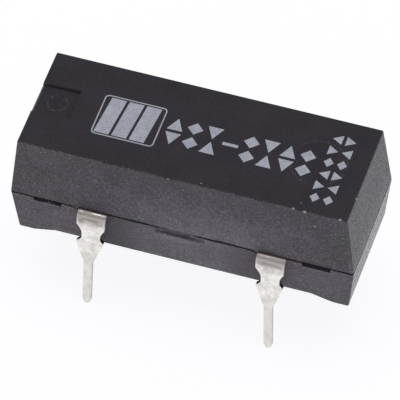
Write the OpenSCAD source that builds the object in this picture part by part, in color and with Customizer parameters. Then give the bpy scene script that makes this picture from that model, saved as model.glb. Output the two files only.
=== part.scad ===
// Reed relay in a moulded dual-in-line body, in millimetres.
// The origin is the middle of the plane that the pin tips stand on. +X runs along the body, away
// from the notched end, the front row of pins is on the -Y side, and +Z is up.
// Lead places are counted as on any dual-in-line part, 1 to 7 along the front from the notched end
// and 8 to 14 back along the rear. Pins stand at 2, 6, 8 and 14, and the rest of the frame is cut off.

/* [Moulded body] */
// Length at the parting line
body_length = 19.46; // [18.8:0.02:20.2]
// Width at the parting line
body_width = 7.08; // [6.7:0.02:7.4]
// Height of the upper half, from the parting line to the flat top
upper_height = 4.14; // [3.6:0.02:4.8]
// Height of the lower half, from the parting line to the feet
lower_height = 3.1; // [2.8:0.02:3.5]
// Draft of the end walls of both halves, in degrees
end_draft = 6.2; // [2:0.1:8]
// Draft of the long walls of both halves, in degrees
side_draft = 3; // [1:0.1:6]
// Radius along the top edges
edge_radius = 0.12; // [0.05:0.01:0.2]
// Radius that eases each upright corner
corner_radius = 0.1; // [0.06:0.01:0.3]
// Depth of the line between the two mould halves
seam_depth = 0.07; // [0.02:0.01:0.1]
// Height of the line between the two mould halves
seam_height = 0.09; // [0.04:0.01:0.12]
// Length over which that line dips to the underside of each lead
dip_length = 0.4; // [0.2:0.02:0.6]

/* [Underside] */
// Depth of the hollow between the two feet
arch_depth = 0.46; // [0.2:0.02:0.6]
// Length of each foot's sole, with its rounded edge
foot_length = 0.4; // [0.35:0.05:1]
// Radius along the outer edges of the feet
foot_radius = 0.2; // [0.05:0.01:0.24]
// Length of the ramp from a sole up to the hollow
ramp_length = 1.7; // [0.5:0.1:3]
// Distance of the underside's ejector marks from the middle
under_mark_x = 5.08; // [2:0.1:6]
// Diameter of the underside's ejector marks
under_mark_diameter = 1.6; // [0.8:0.1:2.4]

/* [Marks in the top] */
// Length of the end notch that marks lead 1's end
notch_length = 2.18; // [1:0.02:3]
// Width of the end notch
notch_width = 2.1; // [1:0.1:3]
// Depth of the end notch
notch_depth = 0.18; // [0.1:0.02:0.4]
// Chamfer on the notch's open edge
notch_lip = 0.12; // [0.05:0.01:0.2]
// Distance of the small ejector mark from the notched end of the top
small_mark_inset = 1.2; // [0.9:0.02:1.4]
// Diameter of the small ejector mark in the notch
small_mark_diameter = 1.1; // [0.6:0.05:1.2]
// Distance of the large ejector mark from the plain end of the top
large_mark_inset = 2.6; // [2:0.05:4]
// Diameter of the large ejector mark
large_mark_diameter = 2.5; // [1.5:0.1:3.5]
// Depth of the ejector marks
mark_depth = 0.02; // [0.01:0.01:0.06]
// Width of an ejector mark's ring
ring_width = 0.07; // [0.04:0.01:0.12]

/* [Gate scar] */
// Length of the scar where the compound was let in
gate_length = 2.9; // [1.5:0.1:3.4]
// Height of the scar, down from the parting line
gate_height = 0.46; // [0.2:0.02:0.8]
// Depth to which the gate broke out of the wall, at the scar's lower edge
gate_depth = 0.12; // [0.06:0.01:0.3]
// How far the scar lies from the middle, towards the notched end
gate_shift = 0.09; // [0:0.01:0.3]

/* [Leads] */
// Pitch of the lead places along a row
pitch = 2.54; // [2.5:0.01:2.58]
// Height of the parting line above the pin tips
stand_height = 6.75; // [6:0.05:8]
// Thickness of the lead frame
lead_thickness = 0.25; // [0.2:0.01:0.3]
// Width of a lead's shoulder
shoulder_width = 1.5; // [1.2:0.02:1.7]
// Straight length between the body's wall and the bend
lead_reach = 0.017; // [0.01:0.001:0.3]
// Outer radius of the bend's sharp part
bend_radius = 0.36; // [0.32:0.01:0.5]
// How far the bend's sharp part turns, in degrees
sharp_turn = 60; // [45:1:75]
// Outer radius of the bend's gentle part
ease_radius = 1.2; // [0.6:0.05:2]
// Outward lean of the pins, in degrees
splay = 5.8; // [0:0.1:9]
// Sideways lean of the front pins at their tips, away from the middle
front_lean = 0.13; // [0:0.01:0.2]
// Distance down the leg to the middle of the dam-bar bites
bite_drop = 0.68; // [0.6:0.02:0.9]
// Length of a dam-bar bite along the leg
bite_length = 1.06; // [0.8:0.02:1.1]
// Depth of a dam-bar bite into the leg
bite_depth = 0.18; // [0.05:0.01:0.22]
// Distance down the leg to the end of the taper
taper_drop = 2.72; // [2.1:0.02:3.1]
// Width of the leg where the taper ends
taper_end_width = 0.66; // [0.6:0.02:0.8]
// Width of the pin
pin_width = 0.49; // [0.4:0.01:0.55]
// Length of the step from the taper to the pin
step_length = 0.14; // [0.05:0.01:0.3]
// Length of the pin's rounded tip
tip_length = 0.4; // [0.25:0.05:0.8]
// How deep the cut-off leads lie behind the wall
stub_recess = 0.24; // [0.1:0.02:0.3]
// Room round a cut-off lead in its slot
slot_room = 0.045; // [0.02:0.005:0.08]
// Width of the contact leads where they cross the body
strip_width = 1.1; // [0.8:0.05:1.2]
// Length of the shoulders that hold the contact leads in the compound
anchor_length = 0.7; // [0.5:0.05:1.2]
// Length of a coil lead's shoulder between the wall and its anchor bar
shoulder_hold = 0.38; // [0.34:0.02:0.5]
// Width of the anchor bar at a coil lead's inner end
bar_width = 2.1; // [1.8:0.05:2.3]
// Depth of the anchor bar
bar_depth = 0.3; // [0.2:0.01:0.4]

/* [Coil] */
// Room between the bobbin's ends and the contact leads
bobbin_gap = 0.37; // [0.2:0.01:0.8]
// Thickness of a flange
flange_thickness = 0.4; // [0.3:0.02:0.6]
// Room between the flanges and the coil leads' anchor bars
flange_gap = 0.2; // [0.1:0.02:0.4]
// Least thickness of the compound under the flanges
under_wall = 0.22; // [0.18:0.01:0.3]
// Outer radius of the bobbin's tube
tube_radius = 1.45; // [1.3:0.02:1.6]
// Radius of the bobbin's bore
bore_radius = 1.08; // [1.02:0.02:1.2]
// How far the flanges stand out past the winding
flange_rim = 0.22; // [0.1:0.02:0.5]
// Depth of the rounded ridges on the winding's outer layer
ridge_depth = 0.05; // [0.02:0.01:0.08]
// Ridges on the winding's outer layer
ridge_count = 30; // [10:1:40]
// Radius of the wires that join the winding to its leads
coil_wire_radius = 0.05; // [0.03:0.01:0.08]
// Radius of the solder dome on a coil lead
solder_radius = 0.26; // [0.2:0.02:0.3]

/* [Reed switch] */
// Length of the glass tube
glass_length = 12; // [11:0.1:12.6]
// Outer radius of the glass tube
glass_radius = 0.9; // [0.8:0.02:0.96]
// Thickness of the glass wall
glass_wall = 0.26; // [0.15:0.01:0.3]
// Length of each glass seal
seal_length = 1.5; // [1:0.1:2]
// Radius of the round ends of the blades
blade_wire_radius = 0.23; // [0.2:0.01:0.26]
// How far the blades' round ends run past the middle of the contact leads
tail_past = 0.63; // [0.3:0.01:0.7]
// Width of the flattened blades
blade_width = 1; // [0.7:0.02:1.04]
// Thickness of the flattened blades
blade_thickness = 0.2; // [0.12:0.01:0.22]
// Length over which the round wire is pressed flat
press_length = 0.7; // [0.4:0.05:1]
// Overlap of the blades
blade_overlap = 1; // [0.6:0.05:1.6]
// Gap between the open contacts
contact_gap = 0.08; // [0.04:0.01:0.1]

/* [Fits] */
// Room left between a round piece and the compound or glass round it
mould_gap = 0.02; // [0.015:0.005:0.03]
// Room that the blades' round ends have to tilt in
tail_play = 0.05; // [0.04:0.005:0.08]

/* [Print] */
// Thickness of the ink
ink_thickness = 0.02; // [0.01:0.005:0.04]
// Space between the end notch and the badge
badge_gap = 1.36; // [0.8:0.02:1.6]
// Length of the badge
badge_length = 3.54; // [2.5:0.02:3.8]
// Width of the badge
badge_width = 2.82; // [2:0.02:3.2]
// Width of the badge's frame line
badge_line = 0.07; // [0.05:0.01:0.12]
// Radius of the badge's corners
badge_round = 0.24; // [0.2:0.02:0.6]
// Space between the badge's edge and its bars
badge_margin = 0.15; // [0.13:0.01:0.5]
// Number of slanted bars in the badge
bar_count = 3; // [2:1:6]
// How far the print lies in front of the body's middle line
print_shift = 0.17; // [0:0.01:0.5]
// Width of the dash and of the gap in each printed pair
stroke = 0.2; // [0.15:0.01:0.3]
// Number of marks in the long row
row_count = 8; // [4:1:8]
// Which mark of the long row is a dash
dash_place = 3; // [1:1:6]
// Space between two marks of the long row
mark_space = 0.18; // [0.1:0.01:0.3]
// Space between the badge and the long row
row_gap = 0.32; // [0.2:0.02:0.5]
// Space between the long row and the short column
row_end_gap = 0.45; // [0.3:0.01:0.8]
// Height of the marks in the long row
row_mark_height = 1.86; // [1:0.02:2]
// Number of marks in the short column
column_count = 6; // [3:1:6]
// Pitch of the marks in the short column
column_pitch = 0.845; // [0.7:0.005:0.9]
// Length of one mark in the short column
column_mark_length = 0.64; // [0.4:0.02:0.68]
// Height of the marks in the short column
column_mark_height = 1.3; // [0.8:0.02:1.4]
// Space between the short column and the plain end of the top
column_margin = 1.12; // [0.6:0.01:1.2]

/* [Hidden] */
$fn = 48;
corner_steps = 4;
corner_turns = [22.5, 45, 67.5];

// Places and sizes that follow from the dimensions above.
half_length = body_length / 2;
half_width = body_width / 2;
top_z = stand_height + upper_height;
foot_z = stand_height - lower_height;
top_half_length = half_length_at(upper_height);
foot_half_length = half_length_at(-lower_height);
over = body_length;
contact_x = 3 * pitch;
coil_x = 2 * pitch;
lead_places = [-contact_x, -coil_x, coil_x, contact_x];
bend_y = half_width + lead_reach;
bend_z = stand_height - bend_radius;
ease_y = bend_y - (ease_radius - bend_radius) * sin(sharp_turn);
ease_z = bend_z - (ease_radius - bend_radius) * cos(sharp_turn);
ease_turn = 90 - splay - sharp_turn;
leg_length = (ease_z + (ease_radius - lead_thickness) * sin(splay)) / cos(splay);
bite_radius = bite_length * bite_length / (8 * bite_depth) + bite_depth / 2;
flare_drop = bite_drop + bite_length / 2;
bar_y = half_width - shoulder_hold - bar_depth;
axis_z = stand_height + tail_play + blade_wire_radius;
roof_z = foot_z + arch_depth;
flange_radius = min(bar_y - flange_gap, axis_z - roof_z - under_wall);
winding_radius = flange_radius - flange_rim;
bobbin_length = 2 * (contact_x - shoulder_width / 2 - bobbin_gap);
pivot_x = glass_length / 2 - seal_length;
tail_end = contact_x + tail_past;
winding_length = bobbin_length - 2 * flange_thickness - 2 * mould_gap;
glass_bore = glass_radius - glass_wall;
seal_round = glass_radius - 2 * blade_wire_radius;
solder_drop = solder_radius / 3;
solder_y = bar_y + bar_depth / 2;
wire_z = stand_height + coil_wire_radius + mould_gap;
wire_offset = solder_radius + coil_wire_radius;
badge_x = -top_half_length + notch_length + badge_gap + badge_length / 2;
column_x = top_half_length - column_margin - column_mark_height / 2;
row_end = column_x - column_mark_height / 2 - row_end_gap;
row_start = badge_x + badge_length / 2 + row_gap;
row_pitch = (row_end - row_start + mark_space) / row_count;
row_mark_length = row_pitch - mark_space;
bar_share = 0.84;
bar_slant = 0.24;

// Half the body's length and width at a height above the parting line.
function half_length_at(h) = half_length - abs(h) * tan(end_draft);
function half_width_at(h) = half_width - abs(h) * tan(side_draft);
function half_corner_at(h, turn) = corner_radius
    + (half_length_at(h) - corner_radius) * cos(turn)
    + (half_width_at(h) - corner_radius) * sin(turn);

// Unit vector, and the angle of a plane vector.
function unit(v) = v / norm(v);
function heading(v) = atan2(v[1], v[0]);
function wrapped(angle) = angle > 180 ? angle - 360 : angle < -180 ? angle + 360 : angle;

// A corner at p between its neighbours a and b, turned into an arc of radius r.
function eased_corner(a, p, b, r) =
    let (u = unit(a - p), v = unit(b - p), half = acos(u * v) / 2,
        centre = p + unit(u + v) * r / sin(half), reach = r / tan(half),
        first = heading(p + u * reach - centre), last = heading(p + v * reach - centre),
        turn = wrapped(last - first))
    [for (i = [0:corner_steps]) let (t = first + turn * i / corner_steps)
        centre + r * [cos(t), sin(t)]];

// A closed outline of [x, y, radius] corners as plain points.
function eased(corners) = [for (i = [0:len(corners) - 1])
    let (n = len(corners), a = corners[(i + n - 1) % n], p = corners[i], b = corners[(i + 1) % n])
    each p[2] > 0 ? eased_corner([a[0], a[1]], [p[0], p[1]], [b[0], b[1]], p[2]) : [[p[0], p[1]]]];

// Corners on the right, then the same ones mirrored to the left in reverse order.
function both_sides(corners) = concat(corners,
    [for (i = [len(corners) - 1:-1:0]) [-corners[i][0], corners[i][1], corners[i][2]]]);

// Outline along the body: two feet with ramps, and the drafted ends.
function side_outline() =
    let (sole_start = foot_half_length - foot_length, roof = -lower_height + arch_depth)
    eased(both_sides([
        [sole_start - ramp_length, roof, 0],
        [sole_start, -lower_height, 0],
        [foot_half_length, -lower_height, foot_radius],
        [half_length, 0, 0],
        [top_half_length, upper_height, edge_radius]]));

// Outline across the body.
function end_outline() = eased(both_sides([
    [half_width_at(-lower_height), -lower_height, foot_radius],
    [half_width, 0, 0],
    [half_width_at(upper_height), upper_height, edge_radius]]));

// Outline between the length and the width, turned by so many degrees, which eases the corners.
function corner_outline(turn) = eased(both_sides([
    [half_corner_at(-lower_height, turn), -lower_height, foot_radius],
    [half_corner_at(0, turn), 0, 0],
    [half_corner_at(upper_height, turn), upper_height, edge_radius]]));

// Outline along the body of what the end notch takes away: its floor, and the chamfer at its end.
function notch_outline() =
    let (inner = -top_half_length + notch_length, floor = upper_height - notch_depth,
        lip = -half_length_at(floor) + notch_lip)
    [[inner, over], [inner, floor], [lip, floor], [lip - over, floor - over], [lip - over, over]];

// Points of an ellipse arc about a centre, from one angle to another.
function oval_arc(centre, rx, ry, from, to, steps) = [for (i = [0:steps])
    let (t = from + (to - from) * i / steps) centre + [rx * cos(t), ry * sin(t)]];

// A list in reverse order.
function reversed(list) = [for (i = [len(list) - 1:-1:0]) list[i]];

// A prism along Y from an outline in the XZ plane.
module prism_y(outline, width) {
    rotate([90, 0, 0])
        linear_extrude(height = width, center = true)
            polygon(outline);
}

// A solid turned about the line of the reed switch.
module turned() {
    translate([0, 0, axis_z])
        rotate([0, 90, 0])
            rotate_extrude()
                children();
}

// A rod from one point to another.
module rod(from, to, radius) {
    run = to - from;
    translate(from)
        rotate([0, acos(run[2] / norm(run)), heading(run)])
            cylinder(r = radius, h = norm(run));
}

// A circle's ring, sunk into a face that looks up.
module sunk_ring(diameter) {
    translate([0, 0, -mark_depth])
        difference() {
            cylinder(d = diameter, h = 2 * mark_depth);
            translate([0, 0, -mark_depth])
                cylinder(d = diameter - 2 * ring_width, h = 4 * mark_depth);
        }
}

// Flat outline of a leg, from over the bend down to its rounded tip.
module leg_outline(lean) {
    tip_start = leg_length - tip_length;
    outline = concat([
        [-shoulder_width / 2, 2 * ease_radius],
        [-shoulder_width / 2, 0],
        [-shoulder_width / 2, -flare_drop],
        [-taper_end_width / 2, -taper_drop],
        [-pin_width / 2, -taper_drop - step_length]],
        oval_arc([0, -tip_start], pin_width / 2, tip_length, 180, 360, 16), [
        [pin_width / 2, -taper_drop - step_length],
        [taper_end_width / 2, -taper_drop],
        [shoulder_width / 2, -flare_drop],
        [shoulder_width / 2, 0],
        [shoulder_width / 2, 2 * ease_radius]]);
    slant = lean / leg_length;
    difference() {
        polygon([for (p = outline) [p[0] - slant * min(p[1], 0), p[1]]]);
        for (side = [-1, 1])
            translate([side * (shoulder_width / 2 + bite_radius - bite_depth), -bite_drop])
                circle(r = bite_radius);
    }
}

// Side view of a front pin's bend, its sharp part and then its gentle part, a depth below its face.
function bend_side(depth) =
    let (sharp = bend_radius - depth, gentle = ease_radius - depth, steps = 6)
    concat(
        oval_arc([-bend_y, bend_z], sharp, sharp, 90, 90 + sharp_turn, 8),
        oval_arc([-ease_y, ease_z], gentle, gentle,
            90 + sharp_turn + ease_turn / steps, 180 - splay, steps - 1));

// Side view of the end of a front pin's leg, a depth below its face.
function leg_end(depth) = [-ease_y, ease_z]
    + (ease_radius - depth) * [-cos(splay), sin(splay)]
    - leg_length * [sin(splay), cos(splay)];

// Side view of a front pin, from the wall over the bend to the tip and back.
function pin_side() = concat(
    [[-half_width, stand_height]],
    bend_side(0),
    [leg_end(0), leg_end(lead_thickness)],
    reversed(bend_side(lead_thickness)),
    [[-half_width, stand_height - lead_thickness]]);

// A front pin at x = 0: its side view and its flat outline, where they meet.
module pin(lean) {
    intersection() {
        rotate([90, 0, 90])
            linear_extrude(height = 2 * shoulder_width, center = true)
                polygon(pin_side());
        translate([0, -ease_y, ease_z])
            rotate([-splay, 0, 0])
                rotate([90, 0, 0])
                    linear_extrude(height = 2 * body_width, center = true)
                        leg_outline(lean);
    }
}

// A flat piece of the frame: its right-hand corners, mirrored to the left. Its top is the seam.
module flat_strip(corners) {
    translate([0, 0, stand_height - lead_thickness])
        linear_extrude(height = lead_thickness)
            polygon(eased(both_sides(corners)));
}

// The part of a contact lead that lies in the body, at x = 0, from its cut end to the rear wall.
module contact_strip() {
    shoulder_y = half_width - anchor_length;
    slope = (shoulder_width - strip_width) / 2;
    flat_strip([
        [shoulder_width / 2, -half_width + stub_recess, 0],
        [shoulder_width / 2, -shoulder_y, 0],
        [strip_width / 2, -shoulder_y + slope, 0],
        [strip_width / 2, shoulder_y - slope, 0],
        [shoulder_width / 2, shoulder_y, 0],
        [shoulder_width / 2, half_width, 0]]);
}

// The part of a coil lead that lies in the body, at x = 0: a shoulder and its anchor bar.
module coil_strip(end_y) {
    flat_strip([
        [shoulder_width / 2, -end_y, 0],
        [shoulder_width / 2, -bar_y - bar_depth, 0],
        [bar_width / 2, -bar_y - bar_depth, 0],
        [bar_width / 2, -bar_y, 0]]);
}

// The slot that a lead leaves in the wall, at x = 0, on the front, with room round its cut end.
module lead_slot(room) {
    translate([-shoulder_width / 2 - room, -half_width - over, stand_height - lead_thickness - room])
        cube([shoulder_width + 2 * room, over + stub_recess + room, lead_thickness + 2 * room]);
}

// The line that the mould halves leave round the body. It dips to each lead from the notched side,
// down to the underside of a pin's shoulder and half as far at a slot.
module parting_line() {
    translate([0, 0, stand_height])
        difference() {
            cube([body_length + over, body_width + over, seam_height], center = true);
            cube([body_length - 2 * seam_depth, body_width - 2 * seam_depth, over], center = true);
            for (x = lead_places)
                translate([x - shoulder_width / 2 - dip_length / 2, 0, 0])
                    cube([dip_length, 2 * over, over], center = true);
        }
    for (x = lead_places, side = [-1, 1]) {
        has_pin = (side < 0) == (abs(x) == coil_x);
        dip = has_pin ? lead_thickness : lead_thickness / 2;
        translate([x - shoulder_width / 2, side * (half_width - seam_depth + over / 2), stand_height])
            prism_y([
                [-dip_length, seam_height / 2],
                [-dip_length, -seam_height / 2],
                [0, -dip],
                [0, seam_height - dip]], over);
    }
}

// The scar of the broken gate: a wedge out of the front wall, deepest at its lower edge.
module gate_scar() {
    translate([-gate_shift, 0, stand_height])
        rotate([90, 0, 90])
            linear_extrude(height = gate_length, center = true)
                polygon([
                    [-half_width - over, 0],
                    [-half_width, 0],
                    [-half_width + gate_depth, -gate_height],
                    [-half_width - over, -gate_height]]);
}

// The block of compound: its outlines along, across and between them, where they meet.
module block() {
    translate([0, 0, stand_height])
        intersection() {
            prism_y(side_outline(), over);
            rotate([0, 0, 90])
                prism_y(end_outline(), 2 * over);
            corner_block(corner_turns[0]);
            corner_block(corner_turns[1]);
            corner_block(corner_turns[2]);
        }
}

module corner_block(turn) {
    intersection() {
        rotate([0, 0, turn])
            prism_y(corner_outline(turn), 2 * over);
        rotate([0, 0, -turn])
            prism_y(corner_outline(turn), 2 * over);
    }
}

// The bobbin: a tube with a flange at each end. The room grows it on every side.
module bobbin_form(room) {
    end = bobbin_length / 2 + room;
    inner = bobbin_length / 2 - flange_thickness - room;
    turned()
        polygon([
            [bore_radius - room, -end],
            [flange_radius + room, -end],
            [flange_radius + room, -inner],
            [tube_radius + room, -inner],
            [tube_radius + room, inner],
            [flange_radius + room, inner],
            [flange_radius + room, end],
            [bore_radius - room, end]]);
}

// The winding as one sleeve. Its outer layer shows as rounded ridges unless it is the room for it.
module winding_form() {
    step = winding_length / ridge_count;
    crest = winding_radius - ridge_depth;
    turned()
        polygon(concat(
            [[tube_radius + mould_gap, winding_length / 2],
            [tube_radius + mould_gap, -winding_length / 2]],
            [for (i = [0:ridge_count - 1])
                each oval_arc([crest, -winding_length / 2 + (i + 0.5) * step],
                    ridge_depth, -step / 2 + mould_gap, 90, -90, 4)]));
}

// The glass: an outer form with rounded ends.
module glass_outer(room) {
    end = glass_length / 2;
    round_z = end - seal_round;
    turned()
        polygon(concat(
            [[0, -end - room]],
            oval_arc([glass_radius - seal_round, -round_z], seal_round + room,
                seal_round + room, -90, 0, 6),
            oval_arc([glass_radius - seal_round, round_z], seal_round + room,
                seal_round + room, 0, 90, 6),
            [[0, end + room]]));
}

// The glass tube's hollow, narrowed to the blades' round ends at the seals.
module glass_hollow() {
    dome = glass_bore - blade_wire_radius - mould_gap;
    turned()
        polygon(concat(
            [[0, -glass_length], [blade_wire_radius + mould_gap, -glass_length]],
            [[blade_wire_radius + mould_gap, -pivot_x]],
            oval_arc([glass_bore - dome, -pivot_x + dome], dome, dome, -90, 0, 6),
            oval_arc([glass_bore - dome, pivot_x - dome], dome, dome, 0, 90, 6),
            [[blade_wire_radius + mould_gap, pivot_x], [blade_wire_radius + mould_gap, glass_length]],
            [[0, glass_length]]));
}

// A reed blade seen from its left-hand end: a round tail, a pressed neck and a flat paddle.
// side is 1 for the upper paddle and -1 for the lower one.
module blade_form(side) {
    low = side * contact_gap / 2;
    high = side * (contact_gap / 2 + blade_thickness);
    neck = -pivot_x + press_length;
    tip = blade_overlap / 2;
    r = blade_wire_radius;
    translate([0, 0, axis_z]) {
        intersection() {
            translate([-tail_end, 0, 0])
                rotate([0, 90, 0])
                    cylinder(r = r, h = tail_end + neck);
            prism_y([[-tail_end - r, -2 * r], [-tail_end - r, 2 * r], [-pivot_x, 2 * r],
                [neck, max(low, high)], [neck, min(low, high)], [-pivot_x, -2 * r]], 4 * r);
        }
        translate([0, 0, min(low, high)])
            linear_extrude(height = blade_thickness)
                polygon(eased([
                    [-pivot_x + press_length / 4, -r / 2, 0],
                    [neck, -blade_width / 2, 0],
                    [tip, -blade_width / 2, blade_width / 4],
                    [tip, blade_width / 2, blade_width / 4],
                    [neck, blade_width / 2, 0],
                    [-pivot_x + press_length / 4, r / 2, 0]]));
    }
}

// The room that a blade's round tail leaves in the compound.
module tail_room() {
    rotate([0, 90, 0])
        cylinder(r = blade_wire_radius + tail_play + mould_gap, h = 2 * (tail_end + tail_play),
            center = true);
}

// The wire from the winding to a coil lead, at x = 0: down to the lead, then along it.
module coil_wire(radius) {
    start = [wire_offset, -winding_radius - coil_wire_radius - mould_gap, axis_z];
    corner = [0, -solder_y + solder_radius / 2, wire_z];
    end = [-solder_radius / 2, -solder_y, wire_z];
    rod(start, corner + radius * unit(corner - start), radius);
    rod(corner - radius * unit(end - corner), end, radius);
}

// The solder dome on a coil lead, at x = 0, with the wire's room in it.
module solder() {
    difference() {
        translate([0, -solder_y, stand_height])
            intersection() {
                translate([0, 0, -solder_drop])
                    sphere(r = solder_radius);
                translate([-solder_radius, -solder_radius, 0])
                    cube(2 * solder_radius);
            }
        coil_wire(coil_wire_radius + mould_gap);
    }
}

// Ink of the given outline, lying on the body's top.
module ink() {
    translate([0, -print_shift, top_z])
        linear_extrude(height = ink_thickness)
            children();
}

// One printed mark by number: two small shapes over each other, triangles or diamonds in turn.
module pair_mark(i, length, height) {
    kind = i % 3;
    half_height = (height - stroke) / 2;
    corners = [[-length / 2, 0], [length / 2, 0]];
    for (side = [-1, 1])
        translate([0, side * stroke / 2])
            if (kind == 0)
                polygon(concat(corners, [[0, side * half_height]]));
            else if (kind == 1)
                polygon([[-length / 2, side * half_height / 2], [0, 0],
                    [length / 2, side * half_height / 2], [0, side * half_height]]);
            else
                polygon([[-length / 2, side * half_height], [length / 2, side * half_height], [0, 0]]);
}

module moulded_body() color([0.13, 0.13, 0.14]) difference() {
    block();
    parting_line();
    gate_scar();
    translate([0, 0, stand_height])
        prism_y(notch_outline(), notch_width);
    translate([small_mark_inset - top_half_length, 0, top_z - notch_depth])
        sunk_ring(small_mark_diameter);
    translate([top_half_length - large_mark_inset, 0, top_z])
        sunk_ring(large_mark_diameter);
    for (side = [-1, 1])
        translate([side * under_mark_x, 0, roof_z])
            mirror([0, 0, 1])
                sunk_ring(under_mark_diameter);
    for (side = [-1, 1]) {
        translate([side * contact_x, 0, 0]) {
            contact_strip();
            lead_slot(slot_room);
        }
        translate([side * coil_x, 0, 0]) {
            coil_strip(half_width);
            solder_room();
            mirror([0, 1, 0]) {
                coil_strip(half_width);
                lead_slot(slot_room);
            }
        }
    }
    bobbin_form(mould_gap);
    winding_room();
    glass_outer(mould_gap);
    translate([0, 0, axis_z])
        tail_room();
    wire_rooms();
}

// The compound's room for the winding, the solder domes and the coil's wires.
module winding_room() {
    turned()
        translate([tube_radius, -winding_length / 2 - mould_gap])
            square([winding_radius + mould_gap - tube_radius, winding_length + 2 * mould_gap]);
}

module solder_room() {
    translate([0, -solder_y, stand_height])
        intersection() {
            translate([0, 0, -solder_drop])
                sphere(r = solder_radius + mould_gap);
            translate([-over / 2, -over / 2, 0])
                cube(over);
        }
}

module wire_rooms() {
    translate([-coil_x, 0, 0])
        coil_wire(coil_wire_radius + mould_gap);
    translate([coil_x, 0, 0])
        mirror([1, 0, 0])
            coil_wire(coil_wire_radius + mould_gap);
}

module contact_lead_left() color([0.72, 0.72, 0.7]) translate([-contact_x, 0, 0]) {
    contact_strip();
    mirror([0, 1, 0])
        pin(0);
}

module contact_lead_right() color([0.72, 0.72, 0.7]) translate([contact_x, 0, 0]) {
    contact_strip();
    mirror([0, 1, 0])
        pin(0);
}

module coil_lead_left() color([0.72, 0.72, 0.7]) translate([-coil_x, 0, 0]) {
    coil_strip(half_width);
    pin(-front_lean);
}

module coil_lead_right() color([0.72, 0.72, 0.7]) translate([coil_x, 0, 0]) {
    coil_strip(half_width);
    pin(front_lean);
}

module rear_stub() {
    mirror([0, 1, 0])
        coil_strip(half_width - stub_recess);
}

module rear_stub_left() color([0.7, 0.5, 0.38]) translate([-coil_x, 0, 0]) rear_stub();

module rear_stub_right() color([0.7, 0.5, 0.38]) translate([coil_x, 0, 0]) rear_stub();

module bobbin() color([0.85, 0.83, 0.75]) bobbin_form(0);

module coil_winding() color([0.72, 0.36, 0.16]) winding_form();

module start_wire() color([0.72, 0.36, 0.16]) translate([-coil_x, 0, 0]) coil_wire(coil_wire_radius);

module end_wire() color([0.72, 0.36, 0.16]) translate([coil_x, 0, 0]) mirror([1, 0, 0])
    coil_wire(coil_wire_radius);

module start_solder() color([0.7, 0.7, 0.72]) translate([-coil_x, 0, 0]) solder();

module end_solder() color([0.7, 0.7, 0.72]) translate([coil_x, 0, 0]) mirror([1, 0, 0]) solder();

module reed_glass() color([0.55, 0.75, 0.6, 0.5]) difference() {
    glass_outer(0);
    glass_hollow();
}

module reed_blade_left() color([0.78, 0.76, 0.7]) blade_form(1);

module reed_blade_right() color([0.78, 0.76, 0.7]) mirror([1, 0, 0]) blade_form(-1);

// The outline of the badge's frame, drawn in from its edge, with rounded corners.
function badge_outline(inset) =
    eased(both_sides([
        [badge_length / 2 - inset, -badge_width / 2 + inset, badge_round - inset],
        [badge_length / 2 - inset, badge_width / 2 - inset, badge_round - inset]]));

// A plain badge: a thin frame round slanted bars.
module badge_mark() color([0.75, 0.74, 0.78]) ink() translate([badge_x, 0]) {
    inner_length = badge_length - 2 * badge_margin;
    inner_height = badge_width - 2 * badge_margin;
    bar_step = inner_length / (bar_count + bar_slant);
    difference() {
        polygon(badge_outline(0));
        polygon(badge_outline(badge_line));
    }
    for (i = [0:bar_count - 1])
        translate([-inner_length / 2 + i * bar_step, -inner_height / 2])
            polygon([
                [0, 0],
                [bar_step * bar_share, 0],
                [bar_step * (bar_share + bar_slant), inner_height],
                [bar_step * bar_slant, inner_height]]);
}

module row_marks() color([0.75, 0.74, 0.78]) ink()
    for (i = [0:row_count - 1])
        translate([row_start + row_mark_length / 2 + i * row_pitch, 0])
            if (i == dash_place)
                square([row_mark_length, stroke], center = true);
            else
                pair_mark(i, row_mark_length, row_mark_height);

module column_marks() color([0.75, 0.74, 0.78]) ink()
    for (i = [0:column_count - 1])
        translate([column_x, (i - (column_count - 1) / 2) * column_pitch])
            rotate([0, 0, 90])
                pair_mark(i + 1, column_mark_length, column_mark_height);

moulded_body();
contact_lead_left();
contact_lead_right();
coil_lead_left();
coil_lead_right();
rear_stub_left();
rear_stub_right();
bobbin();
coil_winding();
start_wire();
end_wire();
start_solder();
end_solder();
reed_glass();
reed_blade_left();
reed_blade_right();
badge_mark();
row_marks();
column_marks();
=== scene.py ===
"""A reed relay in a moulded dual-in-line body, dressed for a studio photograph.

Sizes are in millimetres in the classes' fields and become metres where a mesh is made. The frame is
the part's own: the pin tips stand on the floor, +X runs away from the notched end, the front pins
are on the -Y side, and +Z is up.
"""

from __future__ import annotations

import logging
from dataclasses import dataclass
from enum import Enum
from functools import reduce
from math import cos, pi, radians, sin, tan
from typing import Iterable, Sequence

import bpy
import numpy as np
from mathutils import Matrix, Vector


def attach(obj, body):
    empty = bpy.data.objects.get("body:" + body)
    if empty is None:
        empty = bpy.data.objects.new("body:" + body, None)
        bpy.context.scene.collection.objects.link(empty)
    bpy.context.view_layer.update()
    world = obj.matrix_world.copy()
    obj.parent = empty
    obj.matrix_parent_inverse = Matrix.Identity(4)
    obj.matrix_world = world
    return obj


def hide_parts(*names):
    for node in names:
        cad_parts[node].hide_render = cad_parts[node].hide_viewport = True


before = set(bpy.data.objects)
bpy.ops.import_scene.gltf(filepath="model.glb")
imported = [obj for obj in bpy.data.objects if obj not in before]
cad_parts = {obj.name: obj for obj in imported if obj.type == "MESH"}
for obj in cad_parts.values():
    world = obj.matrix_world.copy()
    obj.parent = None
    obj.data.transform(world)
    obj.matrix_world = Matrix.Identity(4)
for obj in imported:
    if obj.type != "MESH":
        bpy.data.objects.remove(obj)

MM = 0.001  # one millimetre in metres
WAVE_RATE = 20  # the wave texture's own factor on its scale
BODY = "body"  # the body that every new piece rides on
Colour = tuple[float, float, float]
Point = tuple[float, float, float]
Span = tuple[float, float]
Socket = bpy.types.NodeSocket
Material = bpy.types.Material
Piece = bpy.types.Object

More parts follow.
